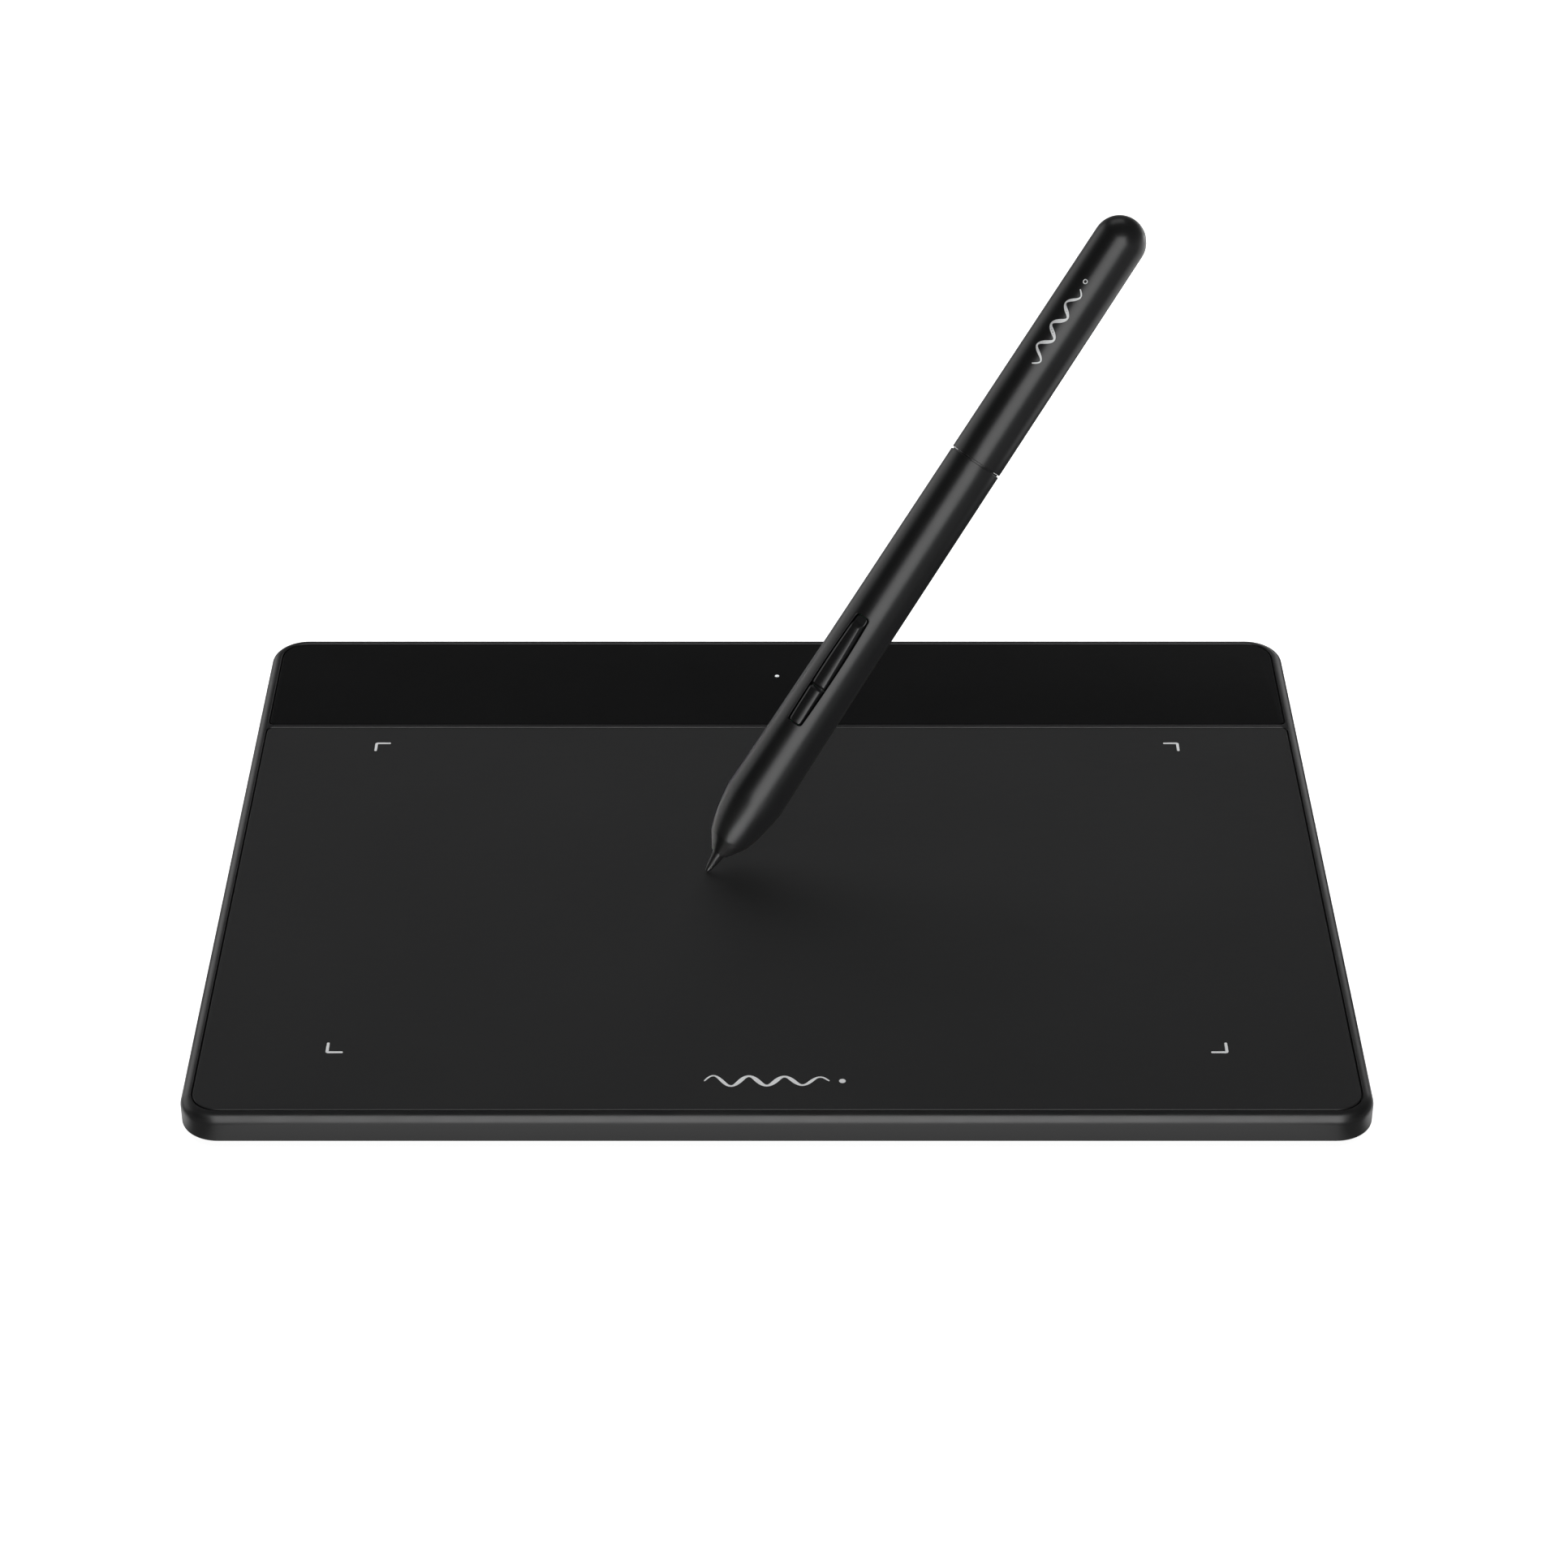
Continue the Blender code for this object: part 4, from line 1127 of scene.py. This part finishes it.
def carried_over():
    """Every CAD node that stays in view gets its finish."""
    for entry in frame["record"]["subparts"]:
        node, finish = frame["nodes"][entry["node"]], MATERIALS[entry["material_slot"]]
        if node.hide_render:
            continue
        for slot in node.material_slots:
            slot.material = finish
        if not node.material_slots:
            node.data.materials.append(finish)


def socket_contacts():
    """Gold contact pads on both faces of the socket's tongue."""
    low, high = tablet_box("usb_socket_insert")
    middle = (low.z + high.z) / 2
    pads, pitch, half, buried, proud = 12, 0.5 * MM, 0.13 * MM, 0.33 * MM, 0.38 * MM
    bm = bmesh.new()
    for face in (-1, 1):
        for k in range(pads):
            x = (k - (pads - 1) / 2) * pitch
            ends = []
            for y in (high.y - 2.6 * MM, high.y - 0.35 * MM):
                corners = ((-half, buried), (half, buried), (half, proud), (-half, proud))
                ends.append([bm.verts.new((x + u, y, middle + face * v)) for u, v in corners])
            bridge(bm, ends[0], ends[1])
            bm.faces.new(ends[0])
            bm.faces.new(ends[1][::-1])
    piece(solid("socket_contacts", bm, TABLET_PLACE), "contact_gold", "tablet", slot="socket_steel")


# Studio

FLOOR_GLOW, CAMERA_GLOW = 0.18, 0.95
FRONT_CARD_GLOW, CORNER_CARD_GLOW, SIDE_CARD_GLOW, BACK_CARD_GLOW = 0.72, 0.80, 0.75, 0.17
RIGHT_SHADE = 0.13
HORIZON_GLOW, ROOM_GLOW = 0.22, 0.05
PITCH, DISTANCE, LENS = 34.476, 718.6 * MM, 86.57
SHIFT = (0.00447, 0.0457)


def card(finish, *ramps):
    """The product of ramps, each a coordinate, the values that it goes between and where it does."""
    glow = finish.span(*ramps[0])
    for ramp in ramps[1:]:
        glow = finish.maths("MULTIPLY", glow, finish.span(*ramp))
    return glow


def studio_floor():
    """A plain white floor, flat white to the camera.

    The object sees a dimmer floor, with pale cards laid on it in front of the tablet, off its
    near corners, beside it on the right and behind it on the left, and shade to the right.
    """
    half = 6.0
    bm = bmesh.new()
    bmesh.ops.create_grid(bm, x_segments=8, y_segments=8, size=half)
    mesh = bpy.data.meshes.new("studio_floor")
    bm.to_mesh(mesh)
    bm.free()
    floor = link("studio_floor", mesh, Matrix.Identity(4))
    finish = Finish("studio_white")
    paper = finish.noise(60 * MM, 2.0)
    camera_ray = finish.node("ShaderNodeLightPath").outputs["Is Camera Ray"]
    base = finish.colour(paper, (0.80, 0.80, 0.80), (0.83, 0.83, 0.83))
    finish.feed("Base Color", finish.blend(camera_ray, (0.0, 0.0, 0.0), base))
    finish.set(Roughness=0.9, Specular_IOR_Level=0.0, Emission_Color=(1.0, 1.0, 1.0, 1.0))

    place = finish.axes(finish.place)
    across, away = place["X"], place["Y"]
    beside = finish.maths("ABSOLUTE", across)
    side, edge = HALF_WIDTH, TABLET_PLACE.translation.y - HALF_DEPTH
    cards = [
        (
            (beside, FRONT_CARD_GLOW, 0.0, side - 7 * MM, side - 2 * MM),
            (away, 1.0, 0.0, edge - 1 * MM, edge + 6 * MM),
            (away, 1.0, 0.62, edge - 9 * MM, edge - 2 * MM),
        ),
        (
            (beside, 0.0, CORNER_CARD_GLOW, side, side + 4 * MM),
            (beside, 1.0, 0.0, side + 12 * MM, side + 20 * MM),
            (away, 1.0, 0.0, edge + 20 * MM, edge + 40 * MM),
            (away, 0.0, 1.0, edge + 1 * MM, edge + 5 * MM),
        ),
        (
            (across, 0.0, SIDE_CARD_GLOW, side + 26 * MM, side + 50 * MM),
            (away, 0.0, 1.0, -5 * MM, 35 * MM),
        ),
        ((across, BACK_CARD_GLOW, 0.0, -60 * MM, 0.0), (away, 0.0, 1.0, -20 * MM, 40 * MM)),
        ((across, 0.0, -RIGHT_SHADE, 0.0, 60 * MM), (away, 0.0, 1.0, -65 * MM, -45 * MM)),
    ]
    seen_by_object = finish.span(paper, FLOOR_GLOW, FLOOR_GLOW, 0.0, 1.0)
    for ramps in cards:
        seen_by_object = finish.maths("ADD", seen_by_object, card(finish, *ramps))
    finish.feed("Emission Strength", finish.blend(camera_ray, seen_by_object, CAMERA_GLOW, "FLOAT"))
    floor.data.materials.append(finish.material)
    floor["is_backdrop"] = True


def toward(azimuth, elevation):
    """A direction from its angle round from +X and its height above the horizon, in degrees."""
    a, e = math.radians(azimuth), math.radians(elevation)
    return Vector((math.cos(a) * math.cos(e), math.sin(a) * math.cos(e), math.sin(e)))


def softbox(name, direction, distance, size, radiance, mirrored=True, lit=None, blocked_by=None):
    """An area light that faces the object. The camera doesn't see it.

    A mirrored one only leaves highlights and the others only light. lit and blocked_by are the
    only collections that it lights and that cast its shadows. Blocked highlights are only
    found by the shader's own rays, because mixed sampling loses most of their light.
    """
    light = bpy.data.lights.new(name, "AREA")
    light.shape = "RECTANGLE"
    light.size, light.size_y = size
    light.energy = radiance * math.pi * light.size * light.size_y
    obj = link(name, light, Matrix.Identity(4))
    obj.location = TABLET_PLACE.translation + Vector((0, 0, TOP)) + toward(*direction) * distance
    obj.rotation_mode = "QUATERNION"
    obj.rotation_quaternion = toward(*direction).to_track_quat("Z", "Y")
    obj.visible_camera = False
    obj.visible_glossy = mirrored
    obj.visible_diffuse = not mirrored
    if lit:
        obj.light_linking.receiver_collection = lit
    if blocked_by:
        obj.light_linking.blocker_collection = blocked_by
        light.cycles.use_multiple_importance_sampling = False


def gathered(name, bodies):
    """A collection of the shown pieces that ride on these bodies."""
    made = bpy.data.collections.new(name)
    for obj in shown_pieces():
        if set(body_of(obj)) <= set(bodies):
            made.objects.link(obj)
    return made


def lights():
    stylus = gathered("stylus_pieces", ("pen", "nib", "lower_key", "upper_key", "pen_tail"))
    tablet = gathered("tablet_pieces", ("tablet",))
    softboxes = [
        # name, (azimuth, elevation), distance, (width, height), radiance, mirrored, lit, blocked by
        ("front_box", (-85.5, 27), 2.4, (1.84, 2.04), 3.0),
        ("rim_box", (-85.5, 61), 2.4, (1.84, 0.90), 3.1, True, tablet),
        ("left_box", (147, 15), 1.2, (1.12, 0.80), 0.90),
        ("right_box", (60, 10), 1.2, (0.70, 0.45), 0.85, True, tablet),
        ("nose_box", (-102, -14), 1.2, (0.95, 0.78), 2.8, True, stylus, stylus),
        ("low_left_box", (149, -19), 1.2, (1.22, 0.64), 0.80, True, stylus, stylus),
        ("low_right_box", (48, -9), 1.2, (1.00, 0.64), 0.85, True, stylus, stylus),
        ("under_box", (-110, -62), 1.2, (1.10, 0.90), 0.35, True, stylus, stylus),
        ("back_box", (92, 53), 1.2, (0.65, 0.46), 0.85, True, stylus),
        ("overhead_fill", (40, 84), 1.2, (1.8, 1.5), 0.90, False, None, tablet),
        ("back_fill", (97, 37), 1.3, (1.20, 0.90), 2.8, False),
        ("stylus_fill", (-38, -12), 1.0, (1.1, 0.9), 5.0, False, stylus, stylus),
    ]
    for settings in softboxes:
        softbox(*settings)


def world():
    """White where the camera looks past the object. Other rays see a dim room, paler at the horizon."""
    made = bpy.data.worlds.new("studio")
    made.use_nodes = True
    nodes = Nodes(made.node_tree, "Generated")
    height = nodes.axes(nodes.place)["Z"]
    room = nodes.span(height, HORIZON_GLOW, ROOM_GLOW, 0.0, 0.40, interpolation_type="SMOOTHSTEP")
    camera_ray = nodes.node("ShaderNodeLightPath").outputs["Is Camera Ray"]
    background = nodes.tree.nodes["Background"]
    nodes.join(nodes.blend(camera_ray, room, 1.0, "FLOAT"), background.inputs["Strength"])
    background.inputs["Color"].default_value = (1.0, 1.0, 1.0, 1.0)
    bpy.context.scene.world = made


def camera():
    """Straight in front of the tablet and above it, looking down at the middle of its top."""
    pitch = math.radians(PITCH)
    lens = bpy.data.cameras.new("camera")
    lens.lens, lens.sensor_width = LENS, 36.0
    lens.shift_x, lens.shift_y = SHIFT
    lens.clip_start, lens.clip_end = 0.01, 50.0
    obj = link("camera", lens, Matrix.Identity(4))
    aim = TABLET_PLACE.translation + Vector((0, 0, TOP))
    obj.location = aim + Vector((0, -math.cos(pitch), math.sin(pitch))) * DISTANCE
    obj.rotation_euler = (math.pi / 2 - pitch, 0, 0)
    bpy.context.scene.camera = obj


def build():
    top_housing()
    surfaces()
    status_window()
    marks()
    front_barrel()
    side_keys()
    rear_barrel()
    nib()
    socket_contacts()
    carried_over()
    studio_floor()
    lights()
    world()
    camera()
    view = bpy.context.scene.view_settings
    view.view_transform = "Standard"
    view.look = "None"


build()
